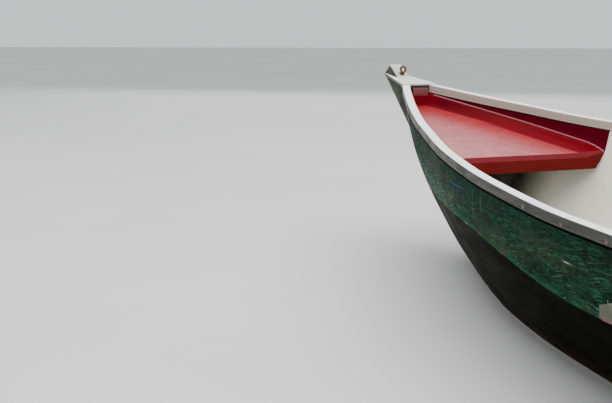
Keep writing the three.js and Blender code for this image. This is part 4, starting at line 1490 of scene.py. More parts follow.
@dataclass
class Gunwales:
    """Rounded alloy channels along both gunwales, with their fixing screws."""

    front: float = 0.3785
    width: float = 0.038
    depth: float = 0.0276
    inner_depth: float = 0.0338
    wall: float = 0.003
    corner: float = 0.0045
    crown: Pair = (0.0004, 0.0006)
    lip: float = 0.0012
    last_run: float = 5.755
    flange_end: Pair = (5.7645, 5.7655)
    screws: tuple[float, ...] = (
        0.62, 0.87, 1.125, 1.375, 1.605, 1.84, 2.07, 2.368, 2.566, 2.76, 3.03, 3.30, 3.57, 3.84, 4.11, 4.38,
        4.64, 4.9, 5.16, 5.4, 5.62,
    )
    screw_drop: float = 0.018
    screw_sunk: float = 0.0022
    # Black bead of painted shade under the rail: its inset, drop and radius.
    shade_bead_inset: float = 0.0035
    shade_bead_drop: float = 0.0036
    shade_bead_radius: float = 0.0042

    def ring(self, aft: float) -> list[Pair]:
        """Section of the channel, whose inner flange ends where the transom's cap begins.

        Args:
            aft: Distance aft of the tip.

        Returns:
            The (inset, drop) points.
        """
        c, w, d, e, t = self.corner, self.width, self.depth, self.inner_depth, self.wall
        shoulder, middle = self.crown
        arc = [(c - c * math.cos(a), c - c * math.sin(a)) for a in quarter(5)]
        outer = [(0.0, d), (0.0, d * 0.6), *arc]
        crown = [(w * 0.3, -shoulder), (w * 0.5, -middle), (w * 0.7, -shoulder)]
        inner = [(w - x, z) for x, z in reversed(arc)]
        lip = [(w, e - 0.003), (w + self.lip, e - 0.002), (w + self.lip, e), (w - t, e)]
        low = t if aft > TRANSOM_AFT - self.width + self.wall else e
        inside = [(w - t, t), (t, t), (t, d)]
        ring = [*outer, *crown, *inner, *lip, *inside]
        return [(x, min(z, low + 0.0002)) if x > w / 2 and z > c else (x, z) for x, z in ring]

    def rail(self, side: Side) -> Piece:
        """One rail.

        Args:
            side: Side of the boat.

        Returns:
            The rail.
        """
        runs = 150
        afts = [self.front + (TRANSOM_AFT - self.front) * (i / runs) ** 1.25 for i in range(runs)]
        rings = []
        for aft in (*(a for a in afts if a < self.last_run), *self.flange_end, TRANSOM_AFT):
            top = FORM.sheer(aft)
            face = [(FORM.edge(aft, inset), top - drop) for inset, drop in self.ring(aft)]
            rings.append(station(aft, face, side.value))
        return skin(f"rail_{side.word}", rings)

    def screw(self, side: Side, aft: float) -> Piece:
        """Domed screw with a cup washer on the rail's outer face.

        Args:
            side: Side of the boat.
            aft: Distance aft of the tip.

        Returns:
            The screw.
        """
        ahead = Vector((x_at(aft - FORM.span), side.value * FORM.half(aft - FORM.span), 0))
        behind = Vector((x_at(aft + FORM.span), side.value * FORM.half(aft + FORM.span), 0))
        out = Vector((0, 0, 1)).cross((ahead - behind).normalized()) * side.value
        middle = Vector((x_at(aft), side.value * FORM.half(aft), FORM.sheer(aft) - self.screw_drop))
        profile = [
            (0, 0), (0.0062, 0), (0.0062, 0.0024), (0.0048, 0.0029), (0.0042, 0.0032), (0.003, 0.0038),
            (0, 0.0041),
        ]
        return lathe("screw", profile, tuple(middle - out * self.screw_sunk), tuple(out), 18)

    def shade_bead(self, side: Side) -> Piece:
        """Black bead under the rail's lower edge, put there as painted shade where the rail overhangs the
        hull.

        Args:
            side: Side of the boat.

        Returns:
            The bead.
        """
        runs = 90
        path = []
        for i in range(runs + 1):
            aft = self.front + 0.004 + (TRANSOM_AFT - 0.012 - self.front) * (i / runs) ** 1.25
            y, z = FORM.edge(aft, self.shade_bead_inset), FORM.sheer(aft) - self.depth - self.shade_bead_drop
            path.append(Vector((x_at(aft), side.value * y, z)))
        return tube(f"rail_seal_{side.word}", path, self.shade_bead_radius, 8)

    def build(self) -> None:
        """Builds rails, screws and the black beads of painted shade on both sides."""
        for side in Side:
            dress(self.rail(side), RAIL, Body.HULL, f"gunwale_{side.word}")
            heads = [self.screw(side, aft) for aft in self.screws]
            dress(joined(f"rail_screws_{side.word}", heads), SCREW, Body.HULL)
            # Painted shade: black bead along the shadow line under the rail.
            dress(self.shade_bead(side), SHADE_BLACK, Body.HULL)


@dataclass
class BowFittings:
    """Stem, the strip and wedge on it, the plate behind and the mooring ring."""

    edge: tuple[Pair, ...] = (
        (0.080, 0.794), (0.095, 0.781), (0.170, 0.716), (0.253, 0.641), (0.354, 0.549), (0.500, 0.402),
        (0.653, 0.247), (0.757, 0.179), (0.833, 0.133), (0.935, 0.062), (1.100, -0.038), (1.330, -0.132),
        (1.560, -0.184),
    )
    half: float = 0.038
    depth: float = 0.24
    corner: float = 0.010
    rear: float = 1.5603
    shoulder: float = 0.71
    tip: float = 0.093
    tip_top: float = 0.794
    nose: float = 0.252
    junction: float = 0.287
    plate_rear: float = 0.378
    thick: float = 0.013
    plate: float = 0.003
    peak: Pair = (0.130, 0.044)
    heel: Pair = (0.220, 0.001)
    wedge_halves: Triple = (0.0355, 0.0305, 0.035)
    ring_aft: float = 0.197
    ring_rise: float = 0.028
    ring_radius: float = 0.0142
    wire: float = 0.0054
    yaw: float = 22.0
    slope_shape: tuple[Pair, ...] = (
        (0.128, 0.0312), (0.150, 0.0322), (0.180, 0.0335), (0.205, 0.0347), (0.217, 0.0357), (0.228, 0.0375),
        (0.240, 0.042), (0.262, 0.055), (0.287, 0.068), (0.32, 0.079), (0.345, 0.086), (0.377, 0.0925),
    )

    def top(self, aft: float) -> float:
        """Height of the strip's top: the gunwale's line, carried straight on to the tip.

        Args:
            aft: Distance aft.

        Returns:
            The height.
        """
        if aft > self.nose:
            return FORM.sheer(aft)
        share = (aft - self.tip) / (self.nose - self.tip)
        return self.tip_top + (FORM.sheer(self.nose) - self.tip_top) * share

    def ramp(self, aft: float) -> float:
        """Height of the wedge's sloping face.

        Args:
            aft: Distance aft.

        Returns:
            The height.
        """
        (start, rise), (end, foot) = self.peak, self.heel
        high, low = self.top(start) + rise, self.top(end) + foot
        return high + (aft - start) / (end - start) * (low - high)

    def plate_half(self, aft: float) -> float:
        """Half-breadth of the plate that covers the hull's top edges."""
        end = FORM.half(self.plate_rear) + 0.002
        return self.half + (end - self.half) * (aft - self.tip) / (self.plate_rear - self.tip)

    def stem(self) -> Piece:
        """Stem bar with a rounded front, cut back by the hull and level with the strip."""
        path = smooth_path([(x_at(aft), 0.0, z) for aft, z in self.edge], 7)
        r = self.corner
        arc = [(r - r * math.sin(a), self.half - r + r * math.cos(a)) for a in quarter(4)]
        face = [*reversed(arc), (self.depth, self.half)]
        rings = []
        for i, point in enumerate(path):
            ahead = (path[min(i + 1, len(path) - 1)] - path[max(i - 1, 0)]).normalized()
            inward = Vector((ahead.z, 0, -ahead.x))
            if inward.x > 0:
                inward = -inward
            ring = [(d, -y) for d, y in reversed(face)] + face
            rings.append([point + inward * d + Vector((0, y, 0)) for d, y in ring])
        bar = skin("stem_face", rings)
        under = [(a, self.top(a) - self.thick - SEAT_GAP) for a in (0.0, self.tip, self.nose, self.junction)]
        behind = [(self.junction, self.shoulder), (self.rear, self.shoulder), (self.rear, -0.4), (0.0, -0.4)]
        below = drawn_out("stem_tool", [(x_at(aft), z) for aft, z in (*under, *behind)], 0.06)
        return self.clear_of_hull(cut(bar, below, Operation.INTERSECT))

    def clear_of_hull(self, piece: Piece) -> Piece:
        """Cuts a piece back to a hair's breadth from the hull."""
        return cut(piece, FORM.solid("hull_tool", FORM.face - SEAT_GAP, SEAT_GAP))

    def cover(self, name: str, rows: Sequence[Pair]) -> Piece:
        """Plate over the stem or the hull's top edges, with sides that hang down outside them.

        Args:
            name: Name of the piece.
            rows: Distances aft, each with the plate's half-breadth there.

        Returns:
            The plate.
        """
        rings = []
        for aft, half in rows:
            top = self.top(aft)
            rings.append(station(aft, boxed(half, top - self.thick, top)))
        return self.clear_of_hull(rounded(skin(name, rings), 0.002))

    def strip(self) -> Piece:
        """Flat strip on the stem."""
        rear = self.junction - SEAT_GAP
        afts = [self.tip + (rear - self.tip) * i / 12 for i in range(13)]
        return self.cover("stem_strip", [(aft, self.plate_half(aft)) for aft in afts])

    def wedge(self) -> Piece:
        """Dark wedge under the sloping plate, with sides that lean in."""
        (peak, _), (heel, _) = self.peak, self.heel
        foot, high, rear = self.wedge_halves
        front = self.tip + 0.001
        rows = (
            (front, self.top(front) + 0.001, foot),
            (peak, self.ramp(peak), high),
            (heel, self.ramp(heel), rear),
        )
        rings = []
        for aft, top, half in rows:
            low = self.top(aft) + SEAT_GAP
            rings.append(station(aft, [(-foot, low), (foot, low), (half, top), (-half, top)]))
        return rounded(skin("stem_wedge", rings), 0.002)

    def sloping_plate(self) -> Piece:
        """Pale plate down the wedge, widening over the plate behind to the gunwales."""
        rings = []
        for aft, half in self.slope_shape:
            flat = self.top(aft) + 0.0002
            low = max(self.ramp(aft), flat) if aft < self.heel[0] else flat
            rings.append(station(aft, boxed(half, low, low + self.plate)))
        return rounded(skin("sloping_plate", rings), 0.0011, 2)

    def breasthook(self) -> Piece:
        """Plate that joins the gunwales."""
        shares = [i / 14 for i in range(15)]
        afts = [self.junction + (self.plate_rear - self.junction) * t for t in shares]
        return self.cover("breasthook", [(aft, self.plate_half(aft)) for aft in afts])

    def ring(self) -> Piece:
        """Mooring ring, standing square to the ramp on its collar."""
        aft = self.ring_aft
        lean = math.atan2(self.ramp(self.peak[0]) - self.ramp(self.heel[0]), self.heel[0] - self.peak[0])
        out_of_ramp = Vector((-math.sin(lean), 0, math.cos(lean)))
        base = Vector((x_at(aft), 0, self.ramp(aft)))
        middle = base + out_of_ramp * self.ring_rise
        turn = math.radians(self.yaw)
        flat = Vector((-math.sin(turn), math.cos(turn), 0))
        rings = []
        for i in range(48):
            t = 2 * math.pi * i / 48
            out = Vector((math.cos(t) * math.cos(turn), math.cos(t) * math.sin(turn), math.sin(t)))
            rings.append([
                middle + out * (self.ring_radius + self.wire * math.cos(s)) + flat * (self.wire * math.sin(s))
                for s in (2 * math.pi * k / 14 for k in range(14))
            ])
        rings.append(rings[0])
        loop = skin("loop", rings, capped=False)
        profile = [
            (0, 0), (0.013, 0), (0.013, 0.005), (0.0117, 0.0072), (0.0092, 0.009), (0.0075, 0.0112),
            (0.0055, 0.0122), (0, 0.0125),
        ]
        collar = lathe("collar", profile, tuple(base + out_of_ramp * 0.0004), tuple(out_of_ramp), 32)
        return joined("mooring_ring", [loop, collar])

    def build(self) -> None:
        """Builds the bow's fittings."""
        dress(self.stem(), STEM, Body.HULL, "stem_bar")
        dress(self.strip(), RAIL, Body.HULL, "stem_cap")
        dress(self.wedge(), STEM, Body.HULL, "stem_head")
        dress(self.sloping_plate(), SLOPE, Body.HULL)
        dress(self.breasthook(), RAIL, Body.HULL, "breasthook_plate")
        dress(self.ring(), EYE, Body.HULL, "mooring_eye")


@dataclass
class BowMoulding:
    """Red platform: a sloping floor in a well with ridged sides, a nose panel and a lip behind."""

    nose: float = 0.390
    rear: float = 1.220
    nose_floor: float = 0.655
    rear_floor: float = 0.516
    nose_ridge: float = 0.709
    rear_ridge: float = 0.537
    lip: float = 0.064
    lip_foot_half: float = 0.364
    chamfer: float = 0.016
    skin: float = 0.0025
    crest_half: float = 0.0405
    crest_top: float = 0.738
    # Half-breadth of the black block of painted shade above the crest.
    shade_block_half: float = 0.050
    slope_run: Pair = (0.015, 0.105)
    turn: float = 1.130
    droop: float = 0.015
    bead_inset: float = 0.0045
    bead_radius: float = 0.0034
    # Black bead of painted shade along the lining's joint with the rail: its inset, drop and radius.
    shade_bead_inset: float = 0.0032
    shade_bead_drop: float = 0.0362
    shade_bead_radius: float = 0.0021

    def line(self, nose: float, rear: float, aft: float) -> float:
        """Straight run of a height between nose and rear."""
        return rear + (self.rear - aft) * (nose - rear) / (self.rear - self.nose)

    def level(self, aft: float) -> float:
        """Height of the sloping floor."""
        return self.line(self.nose_floor, self.rear_floor, aft)

    def ridge(self, aft: float) -> float:
        """Height of the ridge, which turns down at its aft end."""
        down = self.droop * (max(0.0, aft - self.turn) / (self.rear - self.turn)) ** 2
        return max(self.line(self.nose_ridge, self.rear_ridge, aft) - down, self.level(aft) + 0.004)

    def wall(self, aft: float) -> float:
        """Half-breadth of the upright lining at the ridge's height."""
        return FORM.half_at(aft, self.ridge(aft), FITTING_FACE) - self.skin

    def profile(self, aft: float) -> list[Pair]:
        """Half section of the upper surface, from the centreline out.

        Args:
            aft: Distance aft of the tip.

        Returns:
            The (y, z) points.
        """
        floor, ridge, eaves = self.level(aft), self.ridge(aft), FORM.ceiling(aft)
        wall = self.wall(aft)
        shelf = wall - 0.007
        rise = ridge - floor - 0.003
        share = (aft - self.nose) / (self.rear - self.nose)
        foot = max(shelf - self.slope_run[0] - (self.slope_run[1] - self.slope_run[0]) * share, 0.012)
        margin = min(0.02, foot * 0.5)
        start = foot - margin
        run = shelf - foot
        sweep = [
            (start + (margin + 0.3 * run) * t, floor + 0.3 * rise * t * t) for t in (i / 6 for i in range(7))
        ]
        top = FORM.half_at(aft, eaves, FITTING_FACE) - self.skin
        return [
            (0.0, floor), (start * 0.5, floor), *sweep, (foot + 0.65 * run, floor + 0.65 * rise),
            (shelf - 0.002, ridge - 0.0045), (shelf + 0.0005, ridge - 0.0015), (shelf + 0.003, ridge),
            (wall - 0.0015, ridge + 0.0003), (wall, ridge + 0.002),
            ((wall + top) / 2, (ridge + eaves) / 2), (top, eaves),
        ]

    def bead(self, side: Side) -> Piece:
        """Rounded crease along the ridge, painted pale pink as a painted highlight.

        Args:
            side: Side of the boat.

        Returns:
            The bead.
        """
        path = []
        for i in range(40):
            aft = self.nose + 0.02 + (self.rear - 0.021 - self.nose) * i / 39
            y, z = self.wall(aft) - self.bead_inset, self.ridge(aft) - 0.0012
            path.append(Vector((x_at(aft), side.value * y, z)))
        return tube(f"ridge_bead_{side.word}", path, self.bead_radius, 12)

    def shade_bead(self, side: Side) -> Piece:
        """Black bead along the joint between the moulding's lining and the rail, put there as painted shade
        under the rail.

        Args:
            side: Side of the boat.

        Returns:
            The bead.
        """
        path = []
        for i in range(40):
            aft = self.nose + 0.012 + (self.rear - 0.014 - self.nose) * i / 39
            y = FORM.edge(aft, FITTING_FACE + self.shade_bead_inset)
            path.append(Vector((x_at(aft), side.value * y, FORM.sheer(aft) - self.shade_bead_drop)))
        return tube(f"lining_seal_{side.word}", path, self.shade_bead_radius, 10)

    def chamfered(self) -> list[list[Point]]:
        """Rows over the rounded rear edge, where only the floor falls."""
        fade = (1.0,) * 8 + (0.8, 0.4) + (0.0,) * 7
        rows = []
        for ahead, fall in ((0.08, 0.02), (0.2, 0.12), (0.85, 0.87), (1.0, 1.0)):
            aft = self.rear - self.chamfer + self.chamfer * ahead
            drop = self.chamfer * fall
            level = [(y, z - drop * part) for (y, z), part in zip(self.profile(aft), fade)]
            rows.append(mirrored(aft, level))
        return rows

    def lip_rows(self) -> list[list[Point]]:
        """Rows down the lip, which narrows to its foot between the upright linings."""
        shelf = FORM.half_at(self.rear, self.rear_floor, FITTING_FACE) - 0.0015
        rows = []
        for depth, back in ((0.024, 0.0), (self.lip - 0.004, 0.0), (self.lip, 0.0012)):
            low = self.rear_floor - depth
            reach = shelf + (self.lip_foot_half - shelf) * depth / self.lip
            dropped = []
            for i, (y, z) in enumerate(self.profile(self.rear)):
                fallen = (min(y, reach) if i < 12 else reach, low)
                dropped.append(fallen if i < 13 else (y + 0.0012, z))
            rows.append(mirrored(self.rear - back, dropped))
        return rows

    def sheet(self) -> Piece:
        """Upper surface of the moulding, closed by the nose panel."""
        last = self.rear - self.chamfer
        afts = [self.nose + (last - self.nose) * i / 36 for i in range(37)]
        rows = [*(mirrored(aft, self.profile(aft)) for aft in afts), *self.chamfered(), *self.lip_rows()]
        sheet = skin("bow_platform", rows, closed=False, capped=False)
        shape = bmesh.new()
        shape.from_mesh(sheet.data)
        nose = [v for v in shape.verts if abs(v.co.x - x_at(self.nose)) < 1e-5]
        shape.faces.new(sorted(nose, key=lambda v: v.co.y))
        shape.to_mesh(sheet.data)
        shape.free()
        tidy(sheet, 38.0)
        return sheet

    def crest(self) -> Piece:
        """Upright crest of the nose panel, whose pinkish grey is a painted reflection."""
        x, half = x_at(self.nose), self.crest_half
        low, high = (x - 0.0002, -half, self.nose_ridge - 0.008), (x + 0.0078, half, self.crest_top)
        return rounded(block("nose_crest", low, high), 0.0018)

    def gap(self) -> Piece:
        """Black block between the crest and the plate ahead of it, put there as painted shade in the gap."""
        x, half, top = x_at(self.nose), self.shade_block_half, self.crest_top
        return block("nose_gap_shade", (x + 0.0084, -half, top + 0.0006), (x + 0.0112, half, top + 0.0100))

    def build(self) -> None:
        """Builds the moulding, its crest, the ridge beads, and the black beads and block of painted shade."""
        dress(self.sheet(), RED_GEL, Body.HULL, "bow_moulding")
        # Painted shade: black block in the gap above the crest.
        dress(self.gap(), RUBBER, Body.HULL)
        dress(self.crest(), CREST_SHEEN_GEL, Body.HULL)
        for side in Side:
            dress(self.bead(side), RIDGE_HIGHLIGHT_GEL, Body.HULL)
            # Painted shade: black bead where the rail shades the lining.
            dress(self.shade_bead(side), RUBBER, Body.HULL)


@dataclass
class Cockpit:
    """Sole, side benches with their lids, the linings' pale edges and the batteries."""

    front: float = 3.15
    rear: float = 5.35
    seat: float = 0.372
    inner: float = 0.330
    floor: float = 0.0763
    lining: float = 0.010
    gap: float = 0.0005
    corner: float = 0.02
    edge_proud: float = 0.003
    edge_wide: float = 0.007
    lids: tuple[Pair, ...] = ((3.27, 3.87), (3.95, 4.55), (4.63, 5.23))
    lid_inset: Pair = (0.05, 0.09)
    vents: Pair = (3.6, 4.9)
    vent_long: float = 0.14

    def section(self, aft: float) -> list[Pair]:
        """Closed section of a bench and its lining.

        Args:
            aft: Distance aft of the tip.

        Returns:
            The (y, z) points.
        """
        eaves = FORM.ceiling(aft)
        r = self.corner
        corner = [(self.inner + r - r * math.cos(t), self.seat - r + r * math.sin(t)) for t in quarter(5)]
        back = FORM.half_at(aft, self.seat + 0.03, FITTING_FACE + self.lining)
        inner_wall = [
            (FORM.half_at(aft, z, FITTING_FACE + self.lining), z)
            for z in (self.seat + 0.03, self.seat + 0.08, (self.seat + eaves) / 2, eaves)
        ]
        outer_wall = [
            (FORM.half_at(aft, z, FITTING_FACE + self.gap), z)
            for z in (eaves, 0.45, 0.36, 0.27, 0.2, 0.14, 0.1, self.floor)
        ]
        fillet = [
            (back - 0.03, self.seat), (back - 0.012, self.seat + 0.004), (back - 0.003, self.seat + 0.014),
        ]
        return [(self.inner, self.floor), (self.inner, 0.2), *corner, *fillet, *inner_wall, *outer_wall]

    def bench(self, side: Side) -> Piece:
        """Seat, front, ends and lining of one side in a single moulding.

        Args:
            side: Side of the boat.

        Returns:
            The bench.
        """
        afts = [self.front + (self.rear - self.front) * i / 24 for i in range(25)]
        rings = [station(aft, self.section(aft), side.value) for aft in afts]
        return rounded(skin(f"bench_moulding_{side.word}", rings), 0.006, 3, 50.0)

    def plan(self, side: Side, afts: Pair, halves: Pair, z: float) -> list[Point]:
        """Four corners at one height, for a lid or the edge strip.

        Args:
            side: Side of the boat.
            afts: Distances aft of its ends.
            halves: Distances of its sides from the centreline.
            z: The height.

        Returns:
            The corners in order.
        """
        (front, rear), (inner, outer) = afts, halves
        corners = ((front, inner), (rear, inner), (rear, outer), (front, outer))
        return [(x_at(aft), side.value * y, z) for aft, y in corners]

    def lid(self, side: Side, span: Pair, number: int) -> Piece:
        """Locker lid in a seat.

        Args:
            side: Side of the boat.
            span: Distances aft of its ends.
            number: Its number from the bow.

        Returns:
            The lid.
        """
        inset, outset = self.lid_inset
        outer = FORM.half_at((span[0] + span[1]) / 2, self.seat, FITTING_FACE) - outset
        levels = (self.seat - 0.001, self.seat + 0.004)
        rings = [self.plan(side, span, (self.inner + inset, outer), z) for z in levels]
        return rounded(skin(f"bench_lid_{side.word}_{number}", rings), 0.003)

    def pull(self, side: Side, span: Pair, number: int) -> Piece:
        """Flush pull ring of a lid.

        Args:
            side: Side of the boat.
            span: Distances aft of the lid's ends.
            number: Number of the lid.

        Returns:
            The ring.
        """
        start = (x_at((span[0] + span[1]) / 2), side.value * (self.inner + 0.085), self.seat + 0.0035)
        profile = [
            (0, 0.0), (0.024, 0.0), (0.024, 0.0016), (0.022, 0.0024), (0.0165, 0.0024), (0.015, 0.001),
            (0, 0.0008),
        ]
        return lathe(f"lid_pull_{side.word}_{number}", profile, start, (0, 0, 1), 32)

    def pale_edge(self, side: Side) -> Piece:
        """Pale strip down the front end of the lining.

        Args:
            side: Side of the boat.

        Returns:
            The strip.
        """
        low = self.floor + 0.002
        afts = (self.front - self.edge_wide, self.front - SEAT_GAP)
        rings = []
        for i in range(15):
            z = low + (FORM.ceiling(self.front) - low) * i / 14
            outer = FORM.half_at(self.front, z, FITTING_FACE + self.gap)
            inner = FORM.half_at(self.front, z, FITTING_FACE + self.lining + self.edge_proud)
            rings.append(self.plan(side, afts, (outer, inner), z))
        return rounded(skin(f"lining_edge_{side.word}", rings), 0.0015, 2)

    def vent(self, side: Side, aft: float, number: int) -> Piece:
        """Louvred vent in a bench's front.

        Args:
            side: Side of the boat.
            aft: Distance aft of its front end.
            number: Its number from the bow.

        Returns:
            The vent.
        """
        y = side.value * (self.inner - SEAT_GAP)
        slats = []
        for z in (0.2 + 0.016 * i for i in range(5)):
            ends = [Vector((x_at(end), y, z)) for end in (aft, aft + self.vent_long)]
            slats.append(tube("slat", ends, 0.0042, 10))
        return joined(f"bench_vent_{side.word}_{number}", slats)

    def build(self) -> None:
        """Builds the cockpit."""
        softened("cockpit_sole", "sole_deck", 0.002, SOLE, Body.HULL, 2)
        for side in Side:
            dress(self.bench(side), BENCH_GEL, Body.HULL, f"bench_{side.word}")
            dress(self.pale_edge(side), EDGE_GEL, Body.HULL)
            softened(f"battery_{side.word}", f"battery_case_{side.word}", 0.008, PLASTIC, Body.HULL)
            for number, span in enumerate(self.lids, 1):
                dress(self.lid(side, span, number), BENCH_GEL, Body.HULL)
                dress(self.pull(side, span, number), STEEL, Body.HULL)
            for number, aft in enumerate(self.vents, 1):
                dress(self.vent(side, aft, number), PLASTIC, Body.HULL)


@dataclass
class Underwater:
    """Keel strip, skeg and the rubbing pads."""

    pad_proud: float = 0.0116
    pad_back: float = 0.006
    pad_outline: tuple[Triple, ...] = (
        (2.644, 0.331, 0.337), (2.648, 0.3285, 0.342), (2.652, 0.327, 0.347), (2.666, 0.327, 0.370),
        (2.681, 0.328, 0.377), (2.696, 0.329, 0.383), (2.716, 0.3305, 0.391), (2.737, 0.332, 0.397),
        (2.775, 0.333, 0.398), (2.815, 0.333, 0.399), (2.859, 0.333, 0.400),
    )

    def pad(self, side: Side) -> Piece:
        """Thin rubbing pad on the hull's side, with a rounded fore end.

        Args:
            side: Side of the boat.

        Returns:
            The pad.
        """
        rings = []
        for aft, low, high in self.pad_outline:
            heights = [low + (high - low) * k / 6 for k in range(7)]
            face = [(FORM.half_at(aft, z, 0.0) + self.pad_proud, z) for z in heights]
            back = [(FORM.half_at(aft, z, self.pad_back), z) for z in (high, low)]
            rings.append(station(aft, [*face, *back], side.value))
        return rounded(skin(f"rubbing_pad_{side.word}", rings), 0.003, 3)

    def build(self) -> None:
        """Builds the pads and dresses the strips."""
        for side in Side:
            dress(self.pad(side), PAD, Body.HULL, f"side_pad_{side.word}")
        softened("keel_strip", "keel_shoe", 0.004, KEEL, Body.HULL)
        softened("skeg", "skeg_fin", 0.004, KEEL, Body.HULL)


@dataclass
class Stern:
    """Transom capping, motor board and the guard round the motor."""

    radius: float = 0.011
    lower: float = 0.016
    upper: float = 0.058
    inset: float = 0.019
    runs: Triple = (5.3, 5.52, 5.8)
    bend: tuple[Pair, ...] = ((6.010, 0.655), (6.180, 0.540), (6.290, 0.350), (6.322, 0.140))
    rail_posts: Triple = (5.32, 5.56, 5.78)
    free_posts: tuple[Pair, ...] = ((6.180, 0.540), (6.322, 0.138))
    foot: tuple[Pair, ...] = ((0, 0), (0.0155, 0), (0.0155, 0.002), (0.0135, 0.0034), (0, 0.0034))

    def height(self, aft: float) -> float:
        """Height that the guard is measured from: the rails' top, level behind the transom."""
        return max(FORM.sheer(min(aft, TRANSOM_AFT)), FORM.sheer(TRANSOM_AFT) - 0.02)

    def path(self, rise: float) -> list[Vector]:
        """Middle line of one bar of the guard.

        Args:
            rise: Height of the bar above the rails.

        Returns:
            Points along the line, from port to starboard.
        """
        half = [*((aft, FORM.half(aft) - self.inset) for aft in self.runs), *self.bend]
        port = [(x_at(aft), y, self.height(aft) + rise) for aft, y in half]
        return smooth_path([*port, *((x, -y, z) for x, y, z in reversed(port))], 9)

    def post(self, x: float, y: float, low: float, high: float) -> Piece:
        """Upright post with a domed top.

        Args:
            x: Place along the boat.
            y: Place across it.
            low: Height of its foot.
            high: Height of its top.

        Returns:
            The post.
        """
        height = high - low
        profile = [(0, 0), (0.0092, 0), (0.0092, height - 0.004), (0.006, height - 0.001), (0, height)]
        return lathe("post", profile, (x, y, low), (0, 0, 1), 18)

    def guard(self) -> Piece:
        """Two bars on posts with base plates."""
        top = FORM.sheer(TRANSOM_AFT)
        parts = [tube("bar", self.path(rise), self.radius, 18) for rise in (self.lower, self.upper)]
        for side in Side:
            for aft in self.rail_posts:
                y = side.value * (FORM.half(aft) - self.inset)
                low = FORM.sheer(aft) + 0.0008
                parts.append(self.post(x_at(aft), y, low, low + self.upper))
                parts.append(lathe("foot", self.foot, (x_at(aft), y, low), (0, 0, 1), 24))
            for aft, y in self.free_posts:
                parts.append(self.post(x_at(aft), side.value * y, top + 0.012, top + self.upper + 0.002))
        return joined("guard_rails", parts)

    def build(self) -> None:
        """Builds the stern."""
        softened("transom_cap", "transom_rail", 0.0025, RAIL, Body.HULL)
        softened("motor_board", "clamp_board", 0.006, WOOD, Body.HULL)
        dress(self.guard(), STEEL, Body.HULL, "motor_guard")


